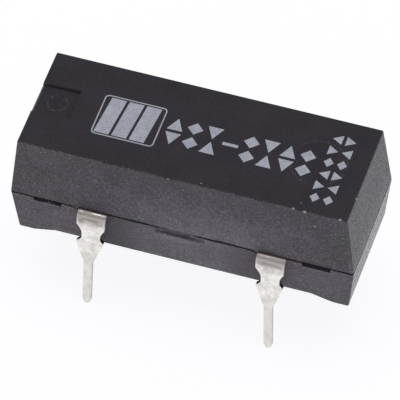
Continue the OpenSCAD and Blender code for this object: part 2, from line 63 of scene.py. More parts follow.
log = logging.getLogger("reed_relay")


class Slot(Enum):
    """Names of three material slots, which nothing in this script uses."""

    COMPOUND = "compound"
    LEAD = "tinned_lead"
    WIRE = "copper_wire"


class Row(Enum):
    """The two rows of leads, with the direction of Y that each one faces."""

    FRONT = -1
    REAR = 1


class Root(Enum):
    """How a lead ends inside the body."""

    ANCHOR_BAR = "a short bar across its inner end"
    CROSS_STRIP = "a strip that runs through to the other wall"


# Surfaces


def soft_noise(a: np.ndarray, b: np.ndarray, size: float, seed: int) -> np.ndarray:
    """Smooth noise from -1 to 1 over two parameters.

    Formula: the mean of seven cosine waves, each with its own direction, its own length between
    0.6 and 1.8 times the size, and its own phase, scaled up and clipped to the range.

    Args:
        a: First parameter.
        b: Second parameter, of the same shape.
        size: Mean wave length, in the parameters' unit.
        seed: Picks the waves.

    Returns:
        The noise, of the parameters' shape.
    """
    pick = np.random.default_rng(seed)
    turn = pick.uniform(0, 2 * pi, 7)
    wave = 2 * pi / (size * pick.uniform(0.6, 1.8, 7))
    phase = pick.uniform(0, 2 * pi, 7)
    along = a[..., None] * np.cos(turn) + b[..., None] * np.sin(turn)
    return np.clip(np.cos(along * wave + phase).mean(-1) * 1.9, -1, 1)


def grid_faces(rows: int, columns: int, closed: bool) -> np.ndarray:
    """Quads of a grid of rows by columns of points.

    Formula: point (i, j) has the index i * columns + j, and a quad joins (i, j), (i, j + 1),
    (i + 1, j + 1) and (i + 1, j). A closed grid joins its last column to its first one.

    Args:
        rows: Number of rows.
        columns: Number of columns.
        closed: Whether the columns form a ring.

    Returns:
        An array of quads, four indices each.
    """
    i, j = np.meshgrid(
        np.arange(rows - 1), np.arange(columns if closed else columns - 1), indexing="ij"
    )
    k = (j + 1) % columns
    quads = np.stack([i * columns + j, i * columns + k, (i + 1) * columns + k, (i + 1) * columns + j], -1)
    return quads.reshape(-1, 4)


def place_mesh(
    name: str, points: np.ndarray, faces: Iterable[Sequence[int]], smooth: float | None = 40.0
) -> Piece:
    """Puts points and faces into a new object at the origin, in the part's frame.

    Args:
        name: Name of the piece.
        points: Corners in millimetres, one row each.
        faces: Corner indices of each face, outward side first.
        smooth: Angle in degrees under which neighbouring faces are shaded as one, or None.

    Returns:
        The object, linked to the scene.
    """
    mesh = bpy.data.meshes.new(name)
    mesh.from_pydata((np.asarray(points, float) * MM).tolist(), [], [tuple(map(int, f)) for f in faces])
    mesh.validate()
    mesh.update()
    piece = bpy.data.objects.new(name, mesh)
    bpy.context.scene.collection.objects.link(piece)
    if smooth is not None:
        mesh.shade_smooth()
        mesh.set_sharp_from_angle(angle=radians(smooth))
    return piece


def ring_stack(name: str, rings: np.ndarray, outward: bool = True, smooth: float = 40.0) -> Piece:
    """A closed form from a stack of rings, with a flat cap on each end.

    Formula: neighbouring rings are joined by quads, and the first and the last ring are each
    filled by one face.

    Args:
        name: Name of the piece.
        rings: Points in millimetres, rings by points by three.
        outward: False turns every face over, for a mirrored stack.
        smooth: Angle in degrees under which neighbouring faces are shaded as one.

    Returns:
        The object.
    """
    rows, columns = rings.shape[:2]
    quads = grid_faces(rows, columns, closed=True)
    start = np.arange(columns)[::-1]
    end = np.arange(columns) + (rows - 1) * columns
    faces = [list(q) for q in quads] + [list(start), list(end)]
    if not outward:
        faces = [f[::-1] for f in faces]
    return place_mesh(name, rings.reshape(-1, 3), faces, smooth)


def relief_plate(
    name: str, front: np.ndarray, depth_axis: int, back_level: float, outward: bool
) -> Piece:
    """A closed plate with a modelled front and a flat back.

    Formula: the front is a grid of points. The back is the same grid with one coordinate set to a
    level, and a rim of quads joins the two round the edge.

    Args:
        name: Name of the piece.
        front: Front points in millimetres, rows by columns by three.
        depth_axis: Which coordinate the plate's depth runs along.
        back_level: That coordinate on the back, in millimetres.
        outward: Whether the front grid's quads already face out.

    Returns:
        The object.
    """
    rows, columns = front.shape[:2]
    back = front.copy()
    back[..., depth_axis] = back_level
    quads = grid_faces(rows, columns, closed=False)
    count = rows * columns
    index = np.arange(count).reshape(rows, columns)
    rim = np.concatenate([index[0, :-1], index[:-1, -1], index[-1, :0:-1], index[:0:-1, 0]])
    after = np.roll(rim, -1)
    sides = np.stack([after, rim, rim + count, after + count], -1)
    faces = np.concatenate([quads, quads[:, ::-1] + count, sides])
    if not outward:
        faces = faces[:, ::-1]
    points = np.concatenate([front.reshape(-1, 3), back.reshape(-1, 3)])
    return place_mesh(name, points, faces, 50.0)


# Finishes


class Bench:
    """Lays out the nodes of one material, on the piece's own coordinates."""

    # The Mix node's sockets for colours: its share and two colours, and its result.
    COLOUR_INPUTS = (0, 6, 7)
    COLOUR_RESULT = 2

    def __init__(self, name: str) -> None:
        """Starts an empty material.

        Args:
            name: Name of the material.
        """
        self.material = bpy.data.materials.new(name)
        self.material.use_nodes = True
        self.tree = self.material.node_tree
        self.tree.nodes.clear()
        output = self.node("ShaderNodeOutputMaterial")
        self.surface = self.node("ShaderNodeBsdfPrincipled")
        self.tree.links.new(self.surface.outputs["BSDF"], output.inputs["Surface"])
        self.place = self.node("ShaderNodeTexCoord").outputs["Object"]
        self.parts = self.node("ShaderNodeSeparateXYZ")
        self.tree.links.new(self.place, self.parts.inputs[0])

    def node(self, kind: str, **settings: object) -> bpy.types.Node:
        """A new node of a kind, with its settings.

        Args:
            kind: Name of the kind.
            settings: Values of its properties.

        Returns:
            The node.
        """
        made = self.tree.nodes.new(kind)
        for key, value in settings.items():
            setattr(made, key, value)
        return made

    def join(self, value: object, socket: Socket) -> None:
        """Links a socket to another one, or sets a plain value on it.

        Args:
            value: The other socket, or a number or a colour.
            socket: The input that takes it.
        """
        if isinstance(value, Socket):
            self.tree.links.new(value, socket)
        elif isinstance(value, tuple) and len(value) == 3 and socket.type == "RGBA":
            socket.default_value = (*value, 1.0)
        else:
            socket.default_value = value

    def axis(self, letter: str) -> Socket:
        """One coordinate of the surface point, in metres."""
        return self.parts.outputs[letter]

    def maths(self, operation: str, *values: object, clamp: bool = False) -> Socket:
        """An operation on sockets and numbers.

        Args:
            operation: Name of the operation.
            values: Its inputs, in order.
            clamp: Whether the result is kept between 0 and 1.

        Returns:
            The result's socket.
        """
        made = self.node("ShaderNodeMath", operation=operation, use_clamp=clamp)
        for value, socket in zip(values, made.inputs):
            self.join(value, socket)
        return made.outputs[0]

    def times(self, *values: object) -> Socket:
        """The product of two or more sockets and numbers."""
        return reduce(lambda first, second: self.maths("MULTIPLY", first, second), values)

    def plus(self, first: object, second: object) -> Socket:
        """The sum of two sockets or numbers."""
        return self.maths("ADD", first, second)

    def minus(self, first: object, second: object) -> Socket:
        """The first socket or number less the second."""
        return self.maths("SUBTRACT", first, second)

    def most(self, first: object, second: object) -> Socket:
        """The greater of two sockets or numbers."""
        return self.maths("MAXIMUM", first, second)

    def blend(self, first: object, second: object, share: float) -> Socket:
        """A value made of two others, with the second one's share."""
        return self.plus(self.times(first, 1 - share), self.times(second, share))

    def off(self, letter: str, place: float = 0.0) -> Socket:
        """How far the surface point is from a place in millimetres along one axis, in metres."""
        value = self.minus(self.axis(letter), place * MM) if place else self.axis(letter)
        return self.maths("ABSOLUTE", value)

    def from_upright(self, x: float, y: float) -> Socket:
        """How far the surface point is from an upright line at a place in millimetres, in metres."""
        dx, dy = self.minus(self.axis("X"), x * MM), self.minus(self.axis("Y"), y * MM)
        return self.maths("SQRT", self.plus(self.times(dx, dx), self.times(dy, dy)))

    def ease(self, value: object, low: float, high: float) -> Socket:
        """A soft step from 0 to 1.

        Args:
            value: What the step follows.
            low: Where it is 0.
            high: Where it is 1.

        Returns:
            The step's socket.
        """
        made = self.node("ShaderNodeMapRange", interpolation_type="SMOOTHSTEP")
        self.join(value, made.inputs["Value"])
        made.inputs["From Min"].default_value = low
        made.inputs["From Max"].default_value = high
        return made.outputs["Result"]

    def ease_mm(self, value: object, low: float, high: float) -> Socket:
        """A soft step between two places or lengths in millimetres."""
        return self.ease(value, low * MM, high * MM)

    def within(self, value: object, low: float, high: float, soft: float) -> Socket:
        """1 between two places or lengths, with soft ends, and 0 elsewhere.

        Args:
            value: What it follows, in metres.
            low: The lower end, in millimetres.
            high: The upper end, in millimetres.
            soft: Half the way over which each end fades, in millimetres.

        Returns:
            The share's socket.
        """
        rise = self.ease_mm(value, low - soft, low + soft)
        return self.times(rise, self.ease_mm(value, high + soft, high - soft))

    def spread(self, value: object, low: float, high: float) -> Socket:
        """A value from 0 to 1, spread evenly over another range.

        Args:
            value: The value.
            low: What 0 becomes.
            high: What 1 becomes.

        Returns:
            The result's socket.
        """
        made = self.node("ShaderNodeMapRange")
        self.join(value, made.inputs["Value"])
        made.inputs["To Min"].default_value = low
        made.inputs["To Max"].default_value = high
        return made.outputs["Result"]

    def stray(self, value: object, reach: float) -> Socket:
        """A value from 0 to 1 as a length, up to a reach in millimetres either way."""
        return self.spread(value, -reach * MM, reach * MM)

    def stretched(self, x: float, y: float, z: float, turn: Point = (0.0, 0.0, 0.0)) -> Socket:
        """The surface point, turned and stretched.

        Args:
            x: Factor along X.
            y: Factor along Y.
            z: Factor along Z.
            turn: Turn about each axis, in degrees.

        Returns:
            The coordinates' socket.
        """
        made = self.node("ShaderNodeMapping")
        self.tree.links.new(self.place, made.inputs["Vector"])
        made.inputs["Rotation"].default_value = tuple(radians(t) for t in turn)
        made.inputs["Scale"].default_value = (x, y, z)
        return made.outputs["Vector"]

    def noise(self, size: float, detail: float = 2.0, rough: float = 0.55, where: object = None) -> Socket:
        """Noise from 0 to 1 with features of a size.

        Args:
            size: Size of its largest features, in millimetres.
            detail: Number of finer layers.
            rough: Share of each finer layer.
            where: Coordinates, or None for the surface point.

        Returns:
            The noise's socket.
        """
        made = self.node("ShaderNodeTexNoise")
        self.join(self.place if where is None else where, made.inputs["Vector"])
        made.inputs["Scale"].default_value = 1.0 / (size * MM)
        made.inputs["Detail"].default_value = detail
        made.inputs["Roughness"].default_value = rough
        return made.outputs[0]

    def grains(self, size: float) -> tuple[Socket, Socket]:
        """Separate grains.

        Args:
            size: Size of a grain, in millimetres.

        Returns:
            The distance from each grain's middle, and a number of its own.
        """
        made = self.node("ShaderNodeTexVoronoi", feature="F1")
        self.join(self.place, made.inputs["Vector"])
        made.inputs["Scale"].default_value = 1.0 / (size * MM)
        number = self.node("ShaderNodeSeparateColor")
        self.tree.links.new(made.outputs["Color"], number.inputs[0])
        return made.outputs["Distance"], number.outputs[0]

    def mix(self, share: object, first: object, second: object) -> Socket:
        """A colour between two others.

        Args:
            share: The second colour's share.
            first: The first colour.
            second: The second colour.

        Returns:
            The colour's socket.
        """
        made = self.node("ShaderNodeMix", data_type="RGBA")
        for value, place in zip((share, first, second), self.COLOUR_INPUTS):
            self.join(value, made.inputs[place])
        return made.outputs[self.COLOUR_RESULT]

    def bump(self, height: object, depth: float, strength: float, under: Socket | None = None) -> Socket:
        """A relief on the surface.

        Args:
            height: Height from 0 to 1.
            depth: Its full height in millimetres.
            strength: Strength of the relief.
            under: The normal of another relief below this one, if any.

        Returns:
            The normal's socket.
        """
        made = self.node("ShaderNodeBump")
        made.inputs["Strength"].default_value = strength
        made.inputs["Distance"].default_value = depth * MM
        self.join(height, made.inputs["Height"])
        if under is not None:
            self.join(under, made.inputs["Normal"])
        return made.outputs["Normal"]

    def facing(self) -> dict[str, Socket]:
        """The direction that the bare surface faces.

        Returns:
            Its three parts, by letter.
        """
        shape = self.node("ShaderNodeNewGeometry")
        parts = self.node("ShaderNodeSeparateXYZ")
        self.tree.links.new(shape.outputs["True Normal"], parts.inputs[0])
        return {letter: parts.outputs[letter] for letter in "XYZ"}

    def paint(self, **inputs: object) -> Material:
        """Sets or links the surface's inputs.

        Args:
            inputs: Values or sockets, by the input's name with underscores for spaces.

        Returns:
            The material.
        """
        for key, value in inputs.items():
            self.join(value, self.surface.inputs[key.replace("_", " ")])
        return self.material


@dataclass(frozen=True)
class EjectorMark:
    """The faint ring that an ejector pin left on the top.

    The place, the radius and how far its edge strays are in millimetres. The shade is the disc's
    share of darker compound, and the glint is the ring's share of painted highlight.
    """

    x: float
    y: float
    radius: float
    wander: float
    shade: float
    glint: float


@dataclass(frozen=True)
class Shade:
    """A soft patch of shade on the front wall.

    Each edge is a span from none of the shade to all of it, in millimetres. The left and the right
    edge count from the body's middle, the low and the high one from the parting line.
    """

    colour: Colour
    share: float
    left: Span
    right: Span
    low: Span
    high: Span


@dataclass(frozen=True)
class CompoundFinish:
    """Black moulding compound: eroded grain on the walls, a smoother printed face on top.

    Lengths are in millimetres. A span gives where something starts and where it is full, or its
    two ends, and a share says how much of a colour is laid over what is below it.
    """

    name: str = "moulding_compound"
    wall: Colour = (0.0250, 0.0215, 0.0300)
    wall_light: Colour = (0.1110, 0.1000, 0.1230)
    # Painted light: wall tones where more light falls, painted highlights, and light over the groove's
    # shadow.
    patch: Colour = (0.122, 0.110, 0.135)
    painted_light: Colour = (0.262, 0.240, 0.286)
    sparkle: Colour = (0.40, 0.38, 0.41)
    top: Colour = (0.0375, 0.0325, 0.0445)
    top_light: Colour = (0.0580, 0.0505, 0.0670)
    # Painted shade in the parting line and its chips, and round the right front slot.
    line: Colour = (0.010, 0.008, 0.010)
    # Painted light inside the lead slots.
    slot: Colour = (0.150, 0.132, 0.160)
    # Torn compound, also laid on as painted shade beside the front leads and at the foot of the notch
    # walls.
    torn: Colour = (0.014, 0.010, 0.019)
    # Painted shade over the front leads where they leave the wall.
    lead_root_shade: Colour = (0.030, 0.018, 0.020)
    nook: Colour = (0.125, 0.113, 0.136)
    grain: float = 0.105
    grain_tones: Span = (0.345, 0.675)
    grain_relief: float = 0.042
    sparkle_grain: float = 0.12
    sparkle_share: float = 0.6
    mottle: float = 1.6
    mottle_share: float = 0.20
    top_tones: Span = (0.36, 0.66)
    top_relief: float = 0.08
    wall_gloss: float = 0.60
    edge_gloss: float = 0.32
    top_gloss: float = 0.58
    half_length: float = 9.73
    half_width: float = 3.54
    seam: float = 6.75
    seam_depth: float = 0.066
    top_z: float = 10.89
    slot_x: float = 7.62
    slot_reach: float = 0.8
    slot_drop: float = 0.60
    # Painted light: a broad highlight mid-wall, a share below the parting line, a pool at the end's foot.
    pale_x: float = 1.6
    pale_across: Span = (7.2, 0.4)
    pale_up: Span = (3.6, 0.4)
    pale_share: Span = (0.62, 0.30)
    lower_light_share: float = 0.20
    foot_depth: Span = (0.35, 0.20)
    foot_up: Span = (1.4, 0.1)
    foot_light_share: float = 0.46
    dust_down: Span = (0.26, 0.03)
    dust_share: Span = (0.30, 0.50)
    # The groove inside the large mark, whose shadow is evened out with painted light.
    groove: Point = (6.675, 0.0, 1.215)
    groove_reach: float = 0.04
    groove_light_share: float = 0.13
    notch_end: float = -7.10
    notch_side: float = 1.05
    notch_depth: float = 0.18
    gate_reach: float = 1.45
    gate_height: float = 0.53
    gate_shift: float = 0.09
    gate_cut: float = 0.16
    gate_share: float = 0.66
    core_across: Span = (-1.02, 0.70)
    core_down: Span = (0.12, 0.46)
    core_share: float = 0.19
    # Painted highlight along the scar's lower edge.
    rim_light_across: Span = (-1.2, 0.6)
    rim_light_down: Span = (0.59, 0.93)
    rim_light_share: float = 0.32
    chip_height: Span = (0.045, 0.120)
    chip_across: Span = (-4.4, 9.6)
    chip_share: Span = (0.40, 0.95)
    chip_gap: Span = (4.25, 5.95)
    worse_across: Span = (2.0, 3.0)
    worse_height: float = 0.065
    spared_across: Span = (-1.8, 0.9)
    spared_share: float = 0.35
    marks: tuple[EjectorMark, ...] = (
        EjectorMark(-8.10, 0.0, 0.51, 0.08, 0.34, 0.45),
        EjectorMark(6.64, 0.06, 1.51, 0.03, 0.20, 0.26),
    )

    def shades(self) -> tuple[Shade, ...]:
        """The front wall's patches of shade.

        Returns:
            Those beside the leads, on the right slot's edges, over that slot, and over the leads.
        """
        beside, over_lead = ((-9.0, -8.0), (-0.02, -0.10)), ((-0.02, 0.02), (0.50, 0.08))
        slot = (self.slot_x - 0.78, self.slot_x - 0.70), (self.slot_x + 0.87, self.slot_x + 0.79)
        return (
            # Painted shadow that the front leads cast on the lower wall beside them.
            Shade(self.torn, 0.52, (-5.2, -4.9), (-1.3, -4.0), *beside),
            Shade(self.torn, 0.48, (1.7, 3.9), (5.2, 4.9), *beside),
            # Painted shade on the right front slot's edges and in the hollow over it.
            Shade(self.line, 0.85, *slot, (-0.35, -0.31), (0.12, 0.08)),
            Shade(self.line, 0.42, *slot, (0.03, 0.13), (0.32, 0.22)),
            # Painted shade over the front leads where they leave the wall.
            Shade(self.lead_root_shade, 0.12, (-5.95, -5.65), (-4.25, -4.55), *over_lead),
            Shade(self.lead_root_shade, 0.42, (4.25, 4.55), (5.95, 5.65), *over_lead),
        )

    def front(self, b: Bench, none: float, full: float) -> Socket:
        """1 on the front wall: none at one depth behind its widest line, and full at another."""
        return b.ease_mm(b.axis("Y"), none - self.half_width, full - self.half_width)

    def fall(self, b: Bench) -> Socket:
        """How far the surface point lies below the parting line."""
        return b.minus(self.seam * MM, b.axis("Z"))

    def crevice(self, b: Bench) -> Socket:
        """1 in the parting line and the lead slots, 0 on the walls.

        Args:
            b: The material's bench.

        Returns:
            The share's socket.
        """
        height = b.within(b.axis("Z"), self.seam - self.slot_drop, self.seam + 0.11, 0.01)
        mouth = self.seam_depth - 0.014
        across = b.ease_mm(b.off("Y"), self.half_width - mouth, self.half_width - self.seam_depth)
        along = b.ease_mm(b.off("X"), self.half_length - mouth, self.half_length - self.seam_depth)
        return b.times(height, across, along)

    def scar(self, b: Bench) -> Socket:
        """The share of torn compound round the broken gate, strongest along its middle.

        Formula: a ragged box on the front wall below the parting line, cut back at its upper right,
        times a base share plus a core that fades out from the box's lower middle.

        Args:
            b: The material's bench.

        Returns:
            The share's socket.
        """
        rag = b.plus(b.stray(b.noise(0.3, 4.0, 0.7), 0.11), b.stray(b.noise(0.1, 2.0, 0.6), 0.07))
        x = b.plus(b.axis("X"), self.gate_shift * MM)
        fall = b.plus(self.fall(b), rag)
        cut = b.times(b.ease_mm(x, 0.5, 0.75), self.gate_cut * MM)
        low = b.ease_mm(fall, self.gate_height, self.gate_height - 0.06)
        high = b.ease_mm(b.minus(fall, cut), -0.01, 0.06)
        ends = b.ease_mm(b.maths("ABSOLUTE", b.plus(x, rag)), self.gate_reach, self.gate_reach - 0.08)
        core = b.times(b.within(fall, *self.core_down, 0.08), b.within(x, *self.core_across, 0.30))
        mottle = b.spread(b.ease(b.noise(0.13, 3.0, 0.6), 0.32, 0.68), 0.75, 1.20)
        box = b.times(low, high, ends, self.front(b, 0.16, 0.12), mottle)
        return b.maths("MULTIPLY", box, b.plus(b.times(core, self.core_share), self.gate_share), clamp=True)

    def scar_rim_highlight(self, b: Bench) -> Socket:
        """The share of painted highlight along the scar's lower edge.

        Args:
            b: The material's bench.

        Returns:
            The share's socket.
        """
        fall = b.plus(self.fall(b), b.stray(b.noise(0.4, 3.0, 0.6), 0.06))
        band = b.within(fall, *self.rim_light_down, 0.08)
        along = b.within(b.axis("X"), *self.rim_light_across, 0.4)
        return b.times(band, along, self.rim_light_share, self.front(b, 0.16, 0.12))

    def parting_flaw(self, b: Bench) -> Socket:
        """The share of shadow in the small chips that widen the parting line on the long walls.

        Formula: a band along the seam, whose lower edge noise along the row moves, and which is
        widest halfway between the middle and each front lead. It is strong from the left front lead
        to the plain end, less than half as strong towards the notch, weak at the scar, and not
        there at the leads.

        Args:
            b: The material's bench.

        Returns:
            The share's socket.
        """
        fall = self.fall(b)
        along = b.noise(1.1, 3.0, 0.7, b.stretched(1.0, 0.0, 0.0))
        least, most = self.chip_height
        worse = b.times(b.within(b.off("X"), *self.worse_across, 0.3), self.worse_height * MM)
        height = b.plus(b.spread(b.ease(along, 0.40, 0.64), least * MM, most * MM), b.times(worse, 0.3))
        low = b.ease_mm(b.minus(fall, height), 0.012, -0.012)
        high = b.ease_mm(b.plus(fall, worse), -0.090, -0.060)
        wall = b.ease_mm(b.off("Y"), self.half_width - 0.10, self.half_width - 0.07)
        strong = b.spread(b.within(b.axis("X"), *self.chip_across, 0.2), *self.chip_share)
        off_scar = b.spread(b.within(b.axis("X"), *self.spared_across, 0.2), 1.0, self.spared_share)
        off_lead = b.spread(b.within(b.off("X"), *self.chip_gap, 0.1), 1.0, 0.0)
        return b.times(low, high, wall, strong, off_scar, off_lead)

    def shade_share(self, b: Bench, shade: Shade) -> Socket:
        """The share of one shade on the front wall.

        Args:
            b: The material's bench.
            shade: The shade.

        Returns:
            The share's socket.
        """
        left, right = (b.ease_mm(b.axis("X"), *edge) for edge in (shade.left, shade.right))
        upright = (shade.low, shade.high)
        low, high = (b.ease_mm(b.axis("Z"), self.seam + none, self.seam + full) for none, full in upright)
        return b.times(left, right, low, high, self.front(b, 0.34, 0.24), shade.share)

    def ejector_mark(self, b: Bench, mark: EjectorMark) -> tuple[Socket, Socket]:
        """Shares of a darker disc and of a broken ring of painted highlight where an ejector pin stood on
        the top.

        Args:
            b: The material's bench.
            mark: The mark.

        Returns:
            The disc's and the ring's sockets.
        """
        away = b.plus(b.from_upright(mark.x, mark.y), b.stray(b.noise(0.35, 3.0, 0.6), mark.wander))
        up = b.ease_mm(b.axis("Z"), self.top_z - 0.35, self.top_z - 0.25)
        disc = b.times(up, b.ease_mm(away, mark.radius + 0.02, mark.radius - 0.10))
        rim = b.within(away, mark.radius - 0.03, mark.radius + 0.06, 0.04)
        return disc, b.times(up, rim, b.ease(b.noise(0.28, 3.0, 0.6), 0.42, 0.60))

    def groove_light_band(self, b: Bench) -> Socket:
        """1 in the groove inside the large mark, where painted light evens out its shadow.

        Args:
            b: The material's bench.

        Returns:
            The share's socket.
        """
        x, y, radius = self.groove
        band = b.within(b.from_upright(x, y), radius - self.groove_reach, radius + self.groove_reach, 0.01)
        return b.times(b.ease_mm(b.axis("Z"), self.top_z - 0.06, self.top_z - 0.04), band)

    def notch_shadow(self, b: Bench) -> Socket:
        """The share of shadow on the end notch's low walls and along their foot.

        Args:
            b: The material's bench.

        Returns:
            The share's socket.
        """
        floor = self.top_z - self.notch_depth
        foot = b.ease_mm(b.off("Y"), self.notch_side - 0.11, self.notch_side - 0.05)
        inside = b.ease_mm(b.off("Y"), self.notch_side + 0.02, self.notch_side)
        end = b.ease_mm(b.axis("X"), self.notch_end + 0.04, self.notch_end)
        off_edge = b.ease_mm(b.axis("X"), 0.46 - self.half_length, 0.62 - self.half_length)
        low = b.ease_mm(b.axis("Z"), floor - 0.05, floor - 0.02)
        high = b.ease_mm(b.axis("Z"), self.top_z - 0.01, self.top_z - 0.03)
        return b.times(foot, inside, end, off_edge, low, high)

    def walls(self, b: Bench, tone: Socket, coarse: Socket) -> Socket:
        """The walls' colour: grain, sparkling grains, painted light, and dust along the top edge.

        Formula: the grain picks a tone between dark and light in two palettes. The pale palette is
        painted light, with a share below the parting line, in the middle of the long walls, and at the
        foot of the plain end's upper wall.

        Args:
            b: The material's bench.
            tone: The grain, from 0 to 1.
            coarse: Slow mottling, from 0 to 1.

        Returns:
            The colour's socket.
        """
        x, z = b.axis("X"), b.axis("Z")
        shade = b.ease(b.plus(tone, b.times(b.minus(coarse, 0.5), self.mottle_share)), *self.grain_tones)
        wall = b.mix(shade, self.wall, self.wall_light)
        pale = b.mix(shade, self.patch, self.painted_light)
        lower = b.ease_mm(z, self.seam + 0.02, self.seam - 0.02)
        pale_up = b.ease_mm(z, *(self.seam + level for level in self.pale_up))
        foot_up = b.ease_mm(z, *(self.seam + level for level in self.foot_up))
        middle = b.times(b.ease_mm(b.off("X", self.pale_x), *self.pale_across), pale_up,
                         b.spread(lower, *self.pale_share))
        deep, shallow = self.foot_depth
        foot = b.times(b.ease_mm(x, self.half_length - deep, self.half_length - shallow), foot_up,
                       b.spread(lower, self.foot_light_share, 0.0))
        # Painted light below the parting line, in the middle of the long walls and at the plain end's foot.
        for share in (b.times(lower, self.lower_light_share), middle, foot):
            wall = b.mix(share, wall, pale)
        distance, number = b.grains(self.sparkle_grain)
        speck = b.times(b.ease(number, 0.86, 0.97), b.ease(distance, 0.40, 0.12), self.sparkle_share)
        under, rim = self.dust_down
        lumps = b.ease(b.noise(0.16, 4.0, 0.7), 0.50, 0.70)
        dust = b.times(b.ease_mm(z, self.top_z - under, self.top_z - rim), lumps,
                       b.spread(b.ease_mm(x, 0.0, -2.0), *self.dust_share))
        return b.mix(dust, b.mix(speck, wall, self.sparkle), self.sparkle)

    def top_face(self, b: Bench, coarse: Socket) -> Socket:
        """The top's colour: a soft mottle and the two ejector marks, each with a painted highlight ring.

        Args:
            b: The material's bench.
            coarse: Slow mottling, from 0 to 1.

        Returns:
            The colour's socket.
        """
        tone = b.blend(b.noise(0.16, 3.0, 0.6), coarse, 0.4)
        top = b.mix(b.ease(tone, *self.top_tones), self.top, self.top_light)
        smudge = b.ease(b.noise(0.3, 3.0, 0.6), 0.38, 0.62)
        for mark in self.marks:
            disc, ring = self.ejector_mark(b, mark)
            top = b.mix(b.times(disc, smudge, mark.shade), top, self.torn)
            top = b.mix(b.times(ring, mark.glint), top, self.painted_light)
        return top

    def gloss(self, b: Bench, tone: Socket, smooth: Socket) -> Socket:
        """How rough the surface is: smoother where it is seen at a slant, and uneven with the grain.

        Args:
            b: The material's bench.
            tone: The grain, from 0 to 1.
            smooth: 1 on the faces that look up.

        Returns:
            The roughness's socket.
        """
        grazing = b.ease(b.node("ShaderNodeLayerWeight").outputs["Facing"], 0.55, 0.95)
        drop = b.times(grazing, self.wall_gloss - self.edge_gloss)
        even = b.minus(b.spread(smooth, self.wall_gloss, self.top_gloss), drop)
        return b.plus(even, b.times(b.minus(tone, 0.5), b.spread(grazing, 0.25, -1.6)))

    def build(self) -> Material:
        """Lays out the material, with the smooth part kept to the faces that look up.

        Returns:
            The material.
        """
        b = Bench(self.name)
        edge = b.spread(b.noise(0.12, 2.0), -0.18, 0.18)
        smooth = b.ease(b.plus(b.facing()["Z"], edge), 0.55, 0.85)
        coarse = b.noise(self.mottle, 2.0, 0.5)
        tone = b.blend(b.noise(self.grain, 2.0, 0.62), b.noise(self.grain * 1.6, 2.0, 0.55), 0.30)
        at_slot = b.within(b.off("X"), self.slot_x - self.slot_reach, self.slot_x + self.slot_reach, 0.01)
        layers = [
            # Painted light over the groove's shadow.
            (b.times(self.groove_light_band(b), self.groove_light_share), self.painted_light),
            (self.notch_shadow(b), b.mix(smooth, self.nook, self.torn)),
            # Painted highlight along the scar's lower edge.
            (self.scar_rim_highlight(b), self.painted_light),
            (self.scar(b), self.torn),
            *((self.shade_share(b, shade), shade.colour) for shade in self.shades()),
            (self.parting_flaw(b), self.line),
            # Painted shade in the parting line, and painted light inside the lead slots.
            (self.crevice(b), b.mix(at_slot, self.line, self.slot)),
        ]
        colour = b.mix(smooth, self.walls(b, tone, coarse), self.top_face(b, coarse))
        for share, over in layers:
            colour = b.mix(share, colour, over)
        relief = b.bump(b.times(tone, b.spread(smooth, 1.0, self.top_relief)), self.grain_relief, 0.9)
        return b.paint(Base_Color=colour, Roughness=self.gloss(b, tone, smooth), Normal=relief, IOR=1.5)


@dataclass(frozen=True)
class BrokenCompoundFinish:
    """Freshly broken compound: dull, rough and a little lighter in its grains."""

    name: str = "broken_compound"
    dark: Colour = (0.045, 0.040, 0.050)
    light: Colour = (0.170, 0.156, 0.182)

    def build(self) -> Material:
        """Lays out the material.

        Returns:
            The material.
        """
        b = Bench(self.name)
        lumps = b.noise(0.16, 4.0, 0.65)
        colour = b.mix(b.ease(lumps, 0.45, 0.72), self.dark, self.light)
        return b.paint(Base_Color=colour, Roughness=0.9, IOR=1.45, Normal=b.bump(lumps, 0.03, 0.9))


